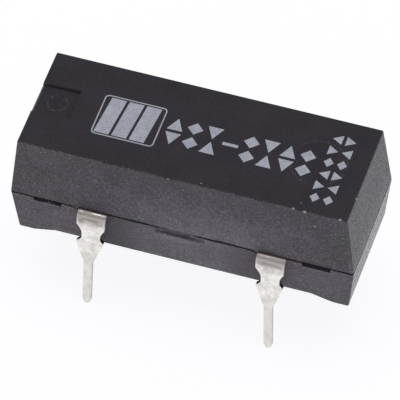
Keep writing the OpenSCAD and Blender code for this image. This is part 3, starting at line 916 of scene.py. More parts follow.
@dataclass(frozen=True)
class TinFinish:
    """Matt tin plate on a stamped lead: tarnished at the bend, stained, and bare in the dam-bar bites.

    Lengths are in millimetres, and a share says how much of a colour is laid over what is below it.
    The darker band on the bend is partly painted dark reflection, and a broken crease and the lead's
    top where it leaves the wall take painted shade.
    """

    name: str = "matt_tin"
    tin: Colour = (0.945, 0.918, 0.890)
    tin_dull: Colour = (0.74, 0.715, 0.682)
    pin: Colour = (0.745, 0.725, 0.672)
    # Stains, painted shade in a broken crease, and the darker faces that look along the row.
    stain_and_shade: Colour = (0.36, 0.345, 0.325)
    # Tarnished metal, with painted dark reflection on the bend.
    tarnish_and_reflection: Colour = (0.365, 0.320, 0.302)
    ridge: Colour = (0.95, 0.90, 0.88)
    root: Colour = (0.82, 0.745, 0.725)
    # Painted shade on the lead's top where it leaves the wall.
    collar_shade: Colour = (0.160, 0.110, 0.104)
    bare: Colour = (0.10, 0.066, 0.05)
    pin_share: Span = (0.45, 0.95)
    tarnish_and_reflection_share: float = 0.80
    stain_and_shade_share: float = 0.42
    root_share: float = 0.85
    ridge_share: float = 0.90
    rim_share: float = 0.45
    collar_shade_share: float = 0.80
    dull: Span = (0.40, 0.50)
    polish: float = 0.24
    bite: Span = (4.72, 5.62)
    crease_z: float = 4.74
    pin_top: float = 3.95
    bend_low: float = 5.66
    bend_high: float = 6.56
    collar_low: float = 6.60
    collar_out: float = 3.59
    strip_low: float = 6.40
    strip_end: float = 3.10
    strip_x: float = 6.60
    pitch: float = 2.54
    shift: float = 0.068

    def bend_wear(self, b: Bench) -> tuple[Socket, Socket, Socket]:
        """Shares on the bend of tarnished metal with painted dark reflection, of rubbed metal and of the
        root.

        Formula: the darker band, partly tarnished metal and partly painted dark reflection, grows from
        the flat up to the foot of the sharp turn, is broken up by streaks along the row and by blotches,
        and fades near the lead's two edges. The bright rubbed metal is a thin ragged band on the outside
        of the sharp turn, and the root is a pale brown from there to the wall.

        Args:
            b: The material's bench.

        Returns:
            The darker band's, the rubbed metal's and the root's sockets.
        """
        streak = b.noise(0.34, 3.0, 0.6, b.stretched(0.62, 1.0, 1.1))
        off_middle = b.maths("PINGPONG", b.minus(b.axis("X"), self.shift * MM), self.pitch / 2 * MM)
        z = b.plus(b.axis("Z"), b.stray(b.noise(0.42, 3.0, 0.6), 0.14))
        rise = b.times(b.spread(b.ease_mm(z, self.bend_low, self.bend_high - 0.14), 0.0, 1.15),
                       b.ease_mm(z, self.bend_high + 0.10, self.bend_high - 0.06))
        tarnish_and_reflection_band = b.times(rise, b.spread(b.ease(streak, 0.34, 0.62), 0.45, 1.0),
                       b.spread(b.ease_mm(off_middle, 0.62, 0.80), 1.0, 0.45))
        band = b.within(z, self.bend_high + 0.065, self.bend_high + 0.175, 0.025)
        patchy = b.ease(b.noise(0.8, 2.0, 0.5, b.stretched(1.0, 0.2, 0.2)), 0.46, 0.58)
        height = b.plus(b.axis("Z"), b.stray(streak, 0.06))
        near_wall = b.ease_mm(height, self.bend_high - 0.12, self.bend_high - 0.02)
        return tarnish_and_reflection_band, b.times(band, patchy), b.times(near_wall, b.spread(patchy, 1.0, 0.7))

    def marks(self, b: Bench, blotch: Socket) -> Socket:
        """The share of stained spots and scuffs, and of painted shade in a broken crease at the bites'
        lower end.

        Args:
            b: The material's bench.
            blotch: Slow mottling, from 0 to 1.

        Returns:
            The share's socket.
        """
        spots = b.times(b.ease(b.noise(0.15, 3.0, 0.65), 0.60, 0.72), b.ease(blotch, 0.40, 0.62))
        # Painted shade in a broken crease at the bites' lower end.
        z = b.plus(b.axis("Z"), b.stray(b.noise(0.5, 2.0, 0.5), 0.07))
        away = b.maths("ABSOLUTE", b.minus(z, self.crease_z * MM))
        crease = b.times(b.ease_mm(away, 0.045, 0.015), b.ease(b.noise(0.30, 3.0, 0.6), 0.42, 0.58), 0.8)
        scuff = b.noise(0.10, 2.0, 0.6, b.stretched(1.0, 0.25, 0.16, (0.0, 14.0, 0.0)))
        return b.most(b.most(spots, crease), b.times(b.ease(scuff, 0.62, 0.74), 0.55))

    def bare_metal(self, b: Bench, facing: dict[str, Socket]) -> Socket:
        """1 on the sheared sides in the bites and on the strips' ends in the front slots.

        Args:
            b: The material's bench.
            facing: The direction that the bare surface faces.

        Returns:
            The share's socket.
        """
        low, high = self.bite
        sideways = b.ease(b.maths("ABSOLUTE", facing["Y"]), 0.80, 0.55)
        strip = b.times(b.ease_mm(b.axis("Y"), -self.strip_end, -self.strip_end - 0.08),
                        b.ease_mm(b.axis("Z"), self.strip_low, self.strip_low + 0.05),
                        b.ease_mm(b.off("X"), self.strip_x, self.strip_x + 0.1))
        return b.most(b.times(sideways, b.within(b.axis("Z"), low, high, 0.1)), strip)

    def build(self) -> Material:
        """Lays out the material, with the bare metal on the faces that look along the row.

        Returns:
            The material.
        """
        b = Bench(self.name)
        facing = b.facing()
        blotch = b.noise(0.42, 3.0, 0.6)
        fine = b.noise(0.06, 2.0, 0.6)
        shade = b.ease(b.blend(blotch, fine, 0.25), 0.38, 0.66)
        on_pin = b.ease_mm(b.axis("Z"), self.pin_top + 0.2, self.pin_top - 0.2)
        tarnish_and_reflection_band, rubbed, root = self.bend_wear(b)
        # Darker on the faces that look along the row.
        rim = b.ease(b.maths("ABSOLUTE", facing["X"]), 0.15, 0.55)
        # Painted shade on the lead's top where it leaves the wall.
        out = b.plus(b.off("Y"), b.stray(b.noise(0.5, 3.0, 0.6), 0.03))
        collar_shade = b.times(b.ease_mm(out, self.collar_out + 0.06, self.collar_out),
                         b.ease_mm(b.axis("Z"), self.collar_low, self.collar_low + 0.05))
        layers = (
            (b.times(on_pin, b.spread(blotch, *self.pin_share)), self.pin),
            # Tarnished metal, with painted dark reflection on the bend.
            (b.times(tarnish_and_reflection_band, self.tarnish_and_reflection_share), self.tarnish_and_reflection),
            # Stains, with painted shade in a broken crease.
            (b.times(self.marks(b, blotch), self.stain_and_shade_share), self.stain_and_shade),
            (b.times(root, self.root_share), self.root),
            (b.times(rubbed, self.ridge_share), self.ridge),
            (b.times(rim, self.rim_share), self.stain_and_shade),
            (b.times(collar_shade, self.collar_shade_share), self.collar_shade),
            (self.bare_metal(b, facing), self.bare),
        )
        colour = b.mix(shade, self.tin, self.tin_dull)
        for share, over in layers:
            colour = b.mix(share, colour, over)
        even = b.plus(b.spread(shade, *self.dull), b.times(fine, 0.08))
        scratch = b.noise(0.05, 2.0, 0.6, b.stretched(1.0, 0.12, 0.1, (0.0, 6.0, 0.0)))
        relief = b.bump(b.plus(fine, b.times(blotch, 1.5)), 0.006, 0.4, b.bump(scratch, 0.003, 0.3))
        gloss = b.minus(even, b.times(rubbed, self.polish))
        return b.paint(Base_Color=colour, Metallic=1.0, Roughness=gloss, Normal=relief)


@dataclass(frozen=True)
class CutEndFinish:
    """Copper alloy where a lead was sheared off: brown, torn and half tarnished."""

    name: str = "sheared_alloy"
    light: Colour = (0.42, 0.25, 0.16)
    dark: Colour = (0.13, 0.07, 0.05)

    def build(self) -> Material:
        """Lays out the material.

        Returns:
            The material.
        """
        b = Bench(self.name)
        torn = b.noise(0.07, 3.0, 0.6, b.stretched(1.0, 1.0, 0.3))
        colour = b.mix(b.ease(torn, 0.35, 0.7), self.dark, self.light)
        return b.paint(Base_Color=colour, Metallic=1.0, Roughness=0.5, Normal=b.bump(torn, 0.01, 0.6))


@dataclass(frozen=True)
class InkFinish:
    """Pale grey marking ink, thin and speckled where the grain shows through."""

    name: str = "marking_ink"
    ink: Colour = (0.86, 0.90, 1.0)
    thin: Colour = (0.68, 0.70, 0.86)
    through: Colour = (0.12, 0.115, 0.13)

    def build(self) -> Material:
        """Lays out the material.

        Returns:
            The material.
        """
        b = Bench(self.name)
        fine = b.noise(0.11, 3.0, 0.65)
        cloud = b.noise(0.5, 2.0, 0.5)
        cover = b.ease(b.blend(fine, cloud, 0.3), 0.42, 0.60)
        holes = b.times(b.ease(fine, 0.64, 0.76), 0.6)
        colour = b.mix(holes, b.mix(cover, self.ink, self.thin), self.through)
        return b.paint(Base_Color=colour, Roughness=0.7, IOR=1.45, Normal=b.bump(fine, 0.006, 0.5))


@dataclass(frozen=True)
class BobbinFinish:
    """Natural moulded plastic of the bobbin."""

    name: str = "natural_plastic"
    base: Colour = (0.80, 0.75, 0.64)
    cloud: Colour = (0.70, 0.64, 0.52)

    def build(self) -> Material:
        """Lays out the material.

        Returns:
            The material.
        """
        b = Bench(self.name)
        flow = b.noise(1.4, 3.0, 0.5, b.stretched(0.3, 1.0, 1.0))
        return b.paint(Base_Color=b.mix(flow, self.base, self.cloud), Roughness=0.42,
                       Normal=b.bump(b.noise(0.12, 2.0), 0.004, 0.4))


@dataclass(frozen=True)
class EnamelledWireFinish:
    """Copper wire under clear enamel.

    The ripple is the length, in millimetres, over which the fine turns' wave moves on by one radian.
    """

    name: str = "enamelled_copper"
    base: Colour = (0.70, 0.30, 0.11)
    dark: Colour = (0.45, 0.16, 0.05)
    ripple: float = 0.055

    def build(self) -> Material:
        """Lays out the material, with the turns of fine wire as a relief round the coil.

        Returns:
            The material.
        """
        b = Bench(self.name)
        turns = b.node("ShaderNodeTexWave", wave_type="BANDS", bands_direction="X")
        turns.inputs["Scale"].default_value = 1.0 / (self.ripple * MM) / WAVE_RATE
        turns.inputs["Distortion"].default_value = 0.3
        b.join(b.place, turns.inputs["Vector"])
        colour = b.mix(b.noise(0.4, 2.0), self.base, self.dark)
        return b.paint(Base_Color=colour, Metallic=1.0, Roughness=0.28,
                       Normal=b.bump(turns.outputs[1], 0.01, 0.6), Coat_Weight=0.6, Coat_Roughness=0.12)


@dataclass(frozen=True)
class SolderFinish:
    """Bright solder with a few dull frosted spots."""

    name: str = "bright_solder"
    base: Colour = (0.74, 0.74, 0.76)
    frost: Colour = (0.58, 0.58, 0.6)

    def build(self) -> Material:
        """Lays out the material.

        Returns:
            The material.
        """
        b = Bench(self.name)
        frost = b.ease(b.noise(0.15, 3.0), 0.5, 0.7)
        return b.paint(Base_Color=b.mix(frost, self.base, self.frost), Metallic=1.0,
                       Roughness=b.spread(frost, 0.18, 0.45), Normal=b.bump(b.noise(0.1, 2.0), 0.004, 0.3))


@dataclass(frozen=True)
class GlassFinish:
    """Greenish glass of the sealed tube."""

    name: str = "greenish_glass"
    tint: Colour = (0.72, 0.92, 0.80)
    streak: Colour = (0.62, 0.86, 0.72)

    def build(self) -> Material:
        """Lays out the material.

        Returns:
            The material.
        """
        b = Bench(self.name)
        streak = b.noise(0.5, 2.0, 0.5, b.stretched(0.15, 1.0, 1.0))
        return b.paint(Base_Color=b.mix(streak, self.tint, self.streak), Transmission_Weight=0.92, IOR=1.49,
                       Roughness=b.spread(streak, 0.02, 0.08))


@dataclass(frozen=True)
class ReedMetalFinish:
    """Nickel-iron of the blades, with gold-bright contact faces and annealed tails."""

    name: str = "nickel_iron"
    base: Colour = (0.72, 0.70, 0.66)
    gold: Colour = (0.86, 0.66, 0.34)
    contact_reach: float = 0.9

    def build(self) -> Material:
        """Lays out the material.

        Returns:
            The material.
        """
        b = Bench(self.name)
        rolled = b.noise(0.06, 2.0, 0.6, b.stretched(0.08, 1.0, 1.0))
        near = b.ease_mm(b.off("X"), self.contact_reach + 0.1, self.contact_reach)
        return b.paint(Base_Color=b.mix(near, self.base, self.gold), Metallic=1.0,
                       Roughness=b.spread(rolled, 0.22, 0.42), Normal=b.bump(rolled, 0.003, 0.4))


@dataclass(frozen=True)
class LintFinish:
    """Pale dust and lint on the compound."""

    name: str = "pale_lint"
    light: Colour = (0.62, 0.60, 0.60)
    dull: Colour = (0.34, 0.33, 0.34)

    def build(self) -> Material:
        """Lays out the material.

        Returns:
            The material.
        """
        b = Bench(self.name)
        tone = b.noise(0.05, 2.0)
        return b.paint(Base_Color=b.mix(tone, self.dull, self.light), Roughness=0.9,
                       Normal=b.bump(tone, 0.01, 0.5))


@dataclass(frozen=True)
class FloorFinish:
    """A pale table, lit through from below."""

    name: str = "lit_table"
    base: Colour = (0.30, 0.30, 0.30)
    light: Colour = (0.980, 0.980, 1.0)
    glow: float = 0.885

    def build(self) -> Material:
        """Lays out the material.

        Returns:
            The material.
        """
        b = Bench(self.name)
        return b.paint(Base_Color=self.base, Roughness=0.8, Emission_Color=self.light,
                       Emission_Strength=self.glow)


def dress(piece: Piece, finish: Material) -> None:
    """Gives every slot of a piece one finish.

    Args:
        piece: The piece, new or carried over.
        finish: The material.
    """
    if not piece.material_slots:
        piece.data.materials.append(finish)
    for place in piece.material_slots:
        place.material = finish


def dress_nodes(names: Iterable[str], finish: Material) -> list[Piece]:
    """Gives the carried-over pieces of some nodes one finish.

    Args:
        names: Names of the nodes.
        finish: The material.

    Returns:
        Their pieces.
    """
    pieces = [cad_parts[name] for name in names]
    for piece in pieces:
        dress(piece, finish)
    return pieces


def fit(piece: Piece, finish: Material, stands_for: str = "") -> None:
    """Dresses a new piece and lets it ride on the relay's body.

    Args:
        piece: The new piece.
        finish: Its material.
        stands_for: The node that it takes the place of, if any.
    """
    dress(piece, finish)
    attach(piece, BODY)
    if stands_for:
        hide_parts(stands_for)


# The relay


@dataclass
class MouldedBody:
    """The block of compound, with its broken gate, the web in its left slot and its lint."""

    half_width: float = 3.54
    seam: float = 6.75
    side_draft: float = 3.0
    gate_length: float = 2.9
    gate_height: float = 0.46
    gate_depth: float = 0.12
    gate_shift: float = 0.09
    gate_lap: float = 0.05
    gate_bump: float = 0.045
    gate_rough: Span = (0.016, 0.013)
    gate_proud: float = 0.018
    slot_height: float = 0.25
    web_x: float = -7.43
    web_width: float = 0.80
    web_height: float = 0.15
    lint: tuple[tuple[float, float, float, float], ...] = (
        (6.285, -3.324, 10.866, 0.060),
        (6.904, -3.326, 10.836, 0.080),
        (6.990, -3.326, 10.842, 0.050),
        (7.511, -3.375, 9.895, 0.070),
        (8.895, -3.324, 10.870, 0.075),
        (9.052, -3.397, 9.476, 0.045),
        (9.275, -1.678, 10.860, 0.060),
        (9.552, 0.539, 8.388, 0.035),
        (6.570, -2.867, 10.890, 0.040),
        (-0.732, -3.327, 10.813, 0.045),
        (1.079, -3.164, 10.890, 0.050),
        (-4.117, -3.338, 10.602, 0.034),
        (0.112, -3.358, 10.231, 0.034),
        (-0.846, -3.387, 9.660, 0.034),
        (-7.474, -3.523, 6.423, 0.032),
        (-7.316, -3.520, 6.375, 0.030),
        (-7.688, -3.522, 6.403, 0.026),
        (-1.117, -3.534, 6.633, 0.036),
        (-0.895, -3.518, 6.336, 0.026),
        (-0.131, -3.515, 6.264, 0.026),
        (0.621, -3.535, 6.663, 0.028),
        (3.536, -3.502, 6.018, 0.030),
        (3.783, -3.498, 5.942, 0.024),
        (3.866, -3.505, 6.086, 0.022),
        (4.018, -3.467, 5.355, 0.024),
    )

    def gate_scar(self) -> Piece:
        """The torn face of the gate, which nearly fills the wedge that it broke out of the wall.

        Formula: over a grid of place and depth down the wall, the face follows the drafted wall and
        falls back from it by a bump that is deepest below the middle, plus coarse and fine noise
        that fades out at the rim. Its top edge laps over the parting line by a ragged height.

        Returns:
            The piece.
        """
        u, v = np.meshgrid(np.linspace(-1, 1, 160), np.linspace(0, 1, 34), indexing="ij")
        x = u * (self.gate_length / 2 + 0.01) - self.gate_shift
        off_middle = abs(u + 0.05)
        lap = self.gate_lap * np.clip(1.25 - 2.6 * off_middle**1.5, -0.6, 1)
        top = self.seam + lap + 0.010 * soft_noise(x, x * 0, 0.3, 4)
        bottom = self.seam - self.gate_height - 0.004
        z = top + (bottom - top) * v
        fall = (self.seam - z) / self.gate_height
        ends = np.clip(1.15 - 1.15 * abs(u) ** 6, 0, 1)
        inside = ends * np.clip((1 - v) * 7, 0, 1) * np.clip(v * 5, 0.3, 1)
        middle = np.clip(1.2 - 1.1 * off_middle**2, 0.2, 1)
        bump = self.gate_bump * middle * np.exp(-(((fall - 0.62) / 0.26) ** 2))
        coarse, fine = self.gate_rough
        rough = coarse * soft_noise(x, z, 0.2, 5) + fine * soft_noise(x, z, 0.08, 6)
        back = np.clip((bump + rough) * inside, -self.gate_proud, self.gate_depth - 0.02)
        y = -self.half_width + abs(z - self.seam) * tan(radians(self.side_draft)) - 0.002 + back
        back_level = -self.half_width + self.gate_depth + 0.05
        return relief_plate("gate_scar", np.stack([x, y, z], -1), 1, back_level, outward=True)

    def slot_web(self) -> Piece:
        """A torn web of compound along the bottom of the left front slot.

        Formula: over a grid of place and height, the web fills the slot from below up to a ragged
        line, which is lowest at both ends, and its face lies a little behind the wall.

        Returns:
            The piece.
        """
        u, v = np.meshgrid(np.linspace(-1, 1, 60), np.linspace(0, 1, 10), indexing="ij")
        x = self.web_x + u * self.web_width / 2
        floor = self.seam - self.slot_height - 0.045
        crest = self.web_height * (1 - u**4) * (0.85 + 0.25 * soft_noise(x, x * 0, 0.16, 11))
        z = floor + np.clip(crest, 0.012, self.slot_height) * v
        y = -self.half_width + 0.03 + 0.02 * soft_noise(x, z, 0.2, 12) + 0.03 * v
        return relief_plate("slot_web", np.stack([x, y, z], -1), 1, -self.half_width + 0.2, outward=False)

    def lint_flecks(self) -> Piece:
        """The flecks of lint, as one piece.

        Formula: each fleck is a ball over two angles, flattened and stretched by its own factors,
        with its radius changed by noise, half sunk in the wall at its own place.

        Returns:
            The piece.
        """
        drops, turns = np.linspace(0, pi, 9), np.linspace(0, 2 * pi, 12, endpoint=False)
        up, around = np.meshgrid(drops, turns, indexing="ij")
        pick = np.random.default_rng(21)
        points: list[np.ndarray] = []
        faces: list[Sequence[int]] = []
        for n, (x, y, z, size) in enumerate(self.lint):
            radius = size * (1 + 0.3 * soft_noise(around, up, 2.0, 30 + n))
            stretch = pick.uniform(0.6, 1.25, 3)
            ball = np.stack([
                x + radius * np.sin(up) * np.cos(around) * stretch[0],
                y + radius * np.sin(up) * np.sin(around) * stretch[1],
                z + radius * np.cos(up) * stretch[2] * 0.8], -1)
            start = sum(map(len, points))
            rows, columns = ball.shape[:2]
            inner = ball[1:-1]
            poles = np.stack([ball[0].mean(0), ball[-1].mean(0)])
            points.append(np.concatenate([inner.reshape(-1, 3), poles]))
            body = grid_faces(rows - 2, columns, closed=True)[:, ::-1] + start
            ring = np.arange(columns)
            first, last = start + (rows - 2) * columns, start + (rows - 2) * columns + 1
            base = start + (rows - 3) * columns
            faces += [list(f) for f in body]
            faces += [[first, start + a, start + (a + 1) % columns] for a in ring]
            faces += [[last, base + (a + 1) % columns, base + a] for a in ring]
        return place_mesh("lint_flecks", np.concatenate(points), faces, 60.0)

    def build(self) -> list[Piece]:
        """Dresses the block and adds its broken places and lint.

        Returns:
            The block and the new pieces.
        """
        compound = CompoundFinish().build()
        scar, web, lint = self.gate_scar(), self.slot_web(), self.lint_flecks()
        fit(scar, compound)
        fit(web, BrokenCompoundFinish().build())
        fit(lint, LintFinish().build())
        return [*dress_nodes(["moulded_body"], compound), scar, web, lint]


@dataclass
class Lead:
    """A stamped, bent and tinned lead, from its root in the body to its rounded tip."""

    node: str
    place_x: float
    row: Row
    root: Root
    lean: float = 0.0
    half_width: float = 3.54
    stand_height: float = 6.75
    thickness: float = 0.25
    shoulder: float = 1.64
    shift: float = 0.068
    reach: float = 0.017
    bend_radius: float = 0.36
    sharp_turn: float = 60.0
    ease_radius: float = 1.2
    splay: float = 5.8
    left_bite: Point = (0.11, 1.29, 0.31)
    right_bite: Point = (0.26, 0.97, 0.19)
    flare_drop: float = 1.30
    flare_width: float = 1.56
    flare_shift: float = 0.035
    taper_drop: float = 2.72
    taper_width: float = 0.66
    pin_width: float = 0.49
    step: float = 0.14
    tip: float = 0.4
    stub_recess: float = 0.24
    stub_width: float = 1.5
    strip_width: float = 1.1
    anchor: float = 0.7
    hold: float = 0.38
    bar_width: float = 2.1
    bar_depth: float = 0.3
    square_step: float = 1e-6
    edge: float = 0.028
    dent: float = 0.004
    seed: int = 0

    def __post_init__(self) -> None:
        """Works out the lengths that follow from the sizes."""
        self.bend_y = self.half_width + self.reach
        self.bend_z = self.stand_height - self.bend_radius
        self.sharp = radians(self.sharp_turn)
        self.turn = radians(90 - self.splay)
        self.ease_y = self.bend_y - (self.ease_radius - self.bend_radius) * sin(self.sharp)
        self.ease_z = self.bend_z - (self.ease_radius - self.bend_radius) * cos(self.sharp)
        self.sharp_mid = self.bend_radius - self.thickness / 2
        self.ease_mid = self.ease_radius - self.thickness / 2
        self.sharp_arc = self.sharp_mid * self.sharp
        self.arc = self.sharp_arc + self.ease_mid * (self.turn - self.sharp)
        lean_angle = radians(self.splay)
        self.leg = (self.ease_z + (self.ease_radius - self.thickness) * sin(lean_angle)) / cos(lean_angle)

    def path(self, s: np.ndarray) -> tuple[np.ndarray, np.ndarray, np.ndarray]:
        """The middle line of the lead, seen from the side.

        Formula: the heading is 0 as far as the bend, grows with the way over the sharp radius up to
        the sharp turn and then with the way over the gentle radius up to the full turn. The place is
        the flat run, then the point of the sharp arc or of the gentle arc at that heading, then the
        straight leg.

        Args:
            s: Stations along the path, zero at the end of the bend.

        Returns:
            The distance out from the middle plane, the height, and the heading.
        """
        way = np.clip(s + self.arc, 0, self.arc)
        first = np.minimum(way, self.sharp_arc) / self.sharp_mid
        phi = first + np.maximum(way - self.sharp_arc, 0) / self.ease_mid
        gentle = way > self.sharp_arc
        radius = np.where(gentle, self.ease_mid, self.sharp_mid)
        out = np.where(gentle, self.ease_y, self.bend_y) + radius * np.sin(phi)
        up = np.where(gentle, self.ease_z, self.bend_z) + radius * np.cos(phi)
        flat, straight = np.minimum(s + self.arc, 0), np.maximum(s, 0)
        return out + flat + straight * cos(self.turn), up - straight * sin(self.turn), phi

    def cut(self, stations: np.ndarray, bite: Point) -> np.ndarray:
        """How much a dam-bar bite takes off one edge of the lead.

        Formula: the depth times the lesser of two quarter waves, a long one that rises from the
        bite's start and a short one that falls to its end.

        Args:
            stations: Stations along the path.
            bite: The bite's start, length and depth in millimetres.

        Returns:
            The cut at each station.
        """
        start, length, depth = bite
        way = np.clip((stations - start) / length, 0, 1)
        return depth * np.sin(pi / 2 * np.minimum(1, np.minimum(way / 0.52, (1 - way) / 0.28)))

    def half_widths(self) -> tuple[np.ndarray, np.ndarray, np.ndarray]:
        """Half the lead's width and its middle along its path.

        Formula: straight lines between the root's, the flare's, the taper's and the pin's widths,
        and at the tip a quarter of an ellipse. The middle lies to one side as far as the flare and
        comes back over the taper. Each edge then loses its dam-bar bite.

        Returns:
            The stations along the path, zero at the end of the bend, and the half width and the
            middle's place at each.
        """
        wide, wall = self.shoulder / 2, -self.arc - self.reach
        flare, tip = self.flare_drop, self.leg - self.tip
        bar, stub, strip = self.bar_width / 2, self.stub_width / 2, self.strip_width / 2
        if self.root is Root.ANCHOR_BAR:
            hold = wall - self.hold
            inner = [(hold - self.bar_depth, bar), (hold - self.square_step, bar), (hold, wide)]
        else:
            through, anchor = wall - 2 * self.half_width, wall - self.anchor
            near, far = wide - strip, stub - strip
            inner = [(through + self.stub_recess, stub), (through + self.anchor, stub),
                     (through + self.anchor + far, strip), (anchor - near, strip), (anchor, wide)]
        outer = [(flare, self.flare_width / 2), (self.taper_drop, self.taper_width / 2),
                 (self.taper_drop + self.step, self.pin_width / 2), (tip, self.pin_width / 2)]
        knots = np.array(inner + [(wall, wide)] + outer)
        stations = np.unique(np.concatenate([
            knots[:, 0], np.linspace(-self.arc, self.sharp_arc - self.arc, 13),
            np.linspace(self.sharp_arc - self.arc, 0, 9), np.linspace(0, flare, 49),
            np.linspace(flare, self.taper_drop, 16), np.linspace(self.taper_drop + self.step, tip, 14),
            tip + self.tip * np.sin(np.linspace(0, pi / 2, 16)) * 0.9995]))
        width = np.interp(stations, knots[:, 0], knots[:, 1])
        width = width * np.sqrt(1 - np.clip((stations - tip) / self.tip, 0, 1) ** 2)
        turns = [wall - self.hold, wall, 0, flare, self.taper_drop]
        aside = np.interp(stations, turns, [0, self.shift, self.shift, self.flare_shift, 0])
        left = aside - width + self.cut(stations, self.left_bite)
        right = aside + width - self.cut(stations, self.right_bite)
        return stations, (right - left) / 2, (right + left) / 2

    def section(self) -> np.ndarray:
        """The lead's section as signs and corner parts.

        Formula: a rectangle with rounded corners. A point lies at its sign times the half size
        less the corner radius, plus the corner radius times its corner part.

        Returns:
            Rows of across sign, through sign, across corner part and through corner part.
        """
        quarter = np.linspace(0, pi / 2, 4)
        flat = np.linspace(-1, 1, 9)[1:-1]
        rows = []
        for n, (sx, sz) in enumerate([(1, 1), (-1, 1), (-1, -1), (1, -1)]):
            angles = quarter + n * pi / 2
            rows += [(sx, sz, cos(t), sin(t)) for t in angles]
            if n == 0:
                rows += [(-s, 1, 0, 1) for s in flat]
            if n == 2:
                rows += [(s, -1, 0, -1) for s in flat]
        return np.array(rows)

    def build(self, finish: Material) -> Piece:
        """The lead's surface.

        Formula: at each station of the path stands the section, whose half width is the station's
        own. The path runs flat to the wall, turns down on two arcs and goes on straight at the splay.
        Each face is lifted or sunk by a few micrometres of noise, as stamped strip is.

        Args:
            finish: The lead's material.

        Returns:
            The piece, which takes the place of its node.
        """
        s, w, middle = self.half_widths()
        part = self.section()
        out, up, phi = self.path(s)
        round_edge = np.minimum(self.edge, 0.6 * w)
        across = part[None, :, 0] * (w - round_edge)[:, None] + round_edge[:, None] * part[None, :, 2]
        through = part[None, :, 1] * (self.thickness / 2 - self.edge) + self.edge * part[None, :, 3]
        stations = np.repeat(s[:, None], len(part), 1)
        wave = soft_noise(stations, across + 3 * part[None, :, 1], 0.6, 40 + self.seed)
        through = through - self.dent * (1 + wave) * np.sign(part[None, :, 1]) * (stations > -self.arc)
        x = self.place_x + middle[:, None] + across + (self.lean / self.leg) * np.maximum(stations, 0)
        y = out[:, None] + through * np.sin(phi)[:, None]
        z = up[:, None] + through * np.cos(phi)[:, None]
        rings = np.stack([x, self.row.value * y, z], -1)
        piece = ring_stack(f"{self.node}_strip", rings, outward=self.row is Row.FRONT, smooth=35.0)
        fit(piece, finish, stands_for=self.node)
        return piece


@dataclass
class Leads:
    """All four pins and the two cut ends behind the coil leads."""

    contact_x: float = 7.62
    coil_x: float = 5.08
    lean: float = 0.13

    def build(self) -> list[Piece]:
        """Builds the pins and dresses the cut ends.

        Returns:
            The four leads and the cut ends.
        """
        tin = TinFinish().build()
        leads = (
            Lead("coil_lead_left", -self.coil_x, Row.FRONT, Root.ANCHOR_BAR, -self.lean, seed=1),
            Lead("coil_lead_right", self.coil_x, Row.FRONT, Root.ANCHOR_BAR, self.lean, seed=2),
            Lead("contact_lead_left", -self.contact_x, Row.REAR, Root.CROSS_STRIP, seed=3),
            Lead("contact_lead_right", self.contact_x, Row.REAR, Root.CROSS_STRIP, seed=4),
        )
        made = [lead.build(tin) for lead in leads]
        return made + dress_nodes(("rear_stub_left", "rear_stub_right"), CutEndFinish().build())


@dataclass
class Coil:
    """The bobbin, its winding, and the wires soldered to the coil leads."""

    radius: float = 2.44
    ridge: float = 0.05
    tube: float = 1.47
    length: float = 12.16
    turns: int = 30
    axis_z: float = 7.03

    def winding(self) -> Piece:
        """The winding's outer layer, wound as a screw.

        Formula: over the angle round the coil and the place along it, the radius is the crest less
        the ridge depth times one minus a rounded wave, whose phase moves on by one turn for each
        turn of the angle. The ends fall straight to the tube.

        Returns:
            The piece.
        """
        angle = np.linspace(0, 2 * pi, 72, endpoint=False)
        along = np.linspace(-self.length / 2, self.length / 2, self.turns * 9 + 1)
        u, v = np.meshgrid(along, angle, indexing="ij")
        phase = u / self.length * self.turns + v / (2 * pi)
        wave = np.sqrt(np.clip(1 - (2 * (phase % 1) - 1) ** 2, 0, 1))
        reach = self.radius - self.ridge * (1 - wave)
        outer = np.stack([u, reach * np.sin(v), self.axis_z + reach * np.cos(v)], -1)
        start, end = outer[:1].copy(), outer[-1:].copy()
        for ring in (start, end):
            ring[..., 1] = self.tube * np.sin(angle)
            ring[..., 2] = self.axis_z + self.tube * np.cos(angle)
        rings = np.concatenate([start, outer, end, start])
        quads = grid_faces(len(rings), len(angle), closed=True)
        count = (len(rings) - 1) * len(angle)
        quads = np.where(quads >= count, quads - count, quads)
        return place_mesh("coil_turns", rings[:-1].reshape(-1, 3), quads, 50.0)

    def build(self) -> list[Piece]:
        """Builds the winding and dresses the bobbin, the wires and the solder.

        Returns:
            The winding, the bobbin, the wires and the solder.
        """
        wire = EnamelledWireFinish().build()
        turns = self.winding()
        fit(turns, wire, stands_for="coil_winding")
        bobbin = dress_nodes(["bobbin"], BobbinFinish().build())
        wires = dress_nodes(("start_wire", "end_wire"), wire)
        solder = dress_nodes(("start_solder", "end_solder"), SolderFinish().build())
        return [turns, *bobbin, *wires, *solder]


@dataclass
class ReedSwitch:
    """The sealed glass tube and its two blades."""

    tube: str = "reed_glass"
    blades: tuple[str, ...] = ("reed_blade_left", "reed_blade_right")

    def build(self) -> list[Piece]:
        """Dresses the glass and the blades."""
        glass = dress_nodes([self.tube], GlassFinish().build())
        return glass + dress_nodes(self.blades, ReedMetalFinish().build())


@dataclass
class Print:
    """The ink marks on the top."""

    marks: tuple[str, ...] = ("badge_mark", "row_marks", "column_marks")

    def build(self) -> list[Piece]:
        """Dresses the badge, the row and the column."""
        return dress_nodes(self.marks, InkFinish().build())


# The studio


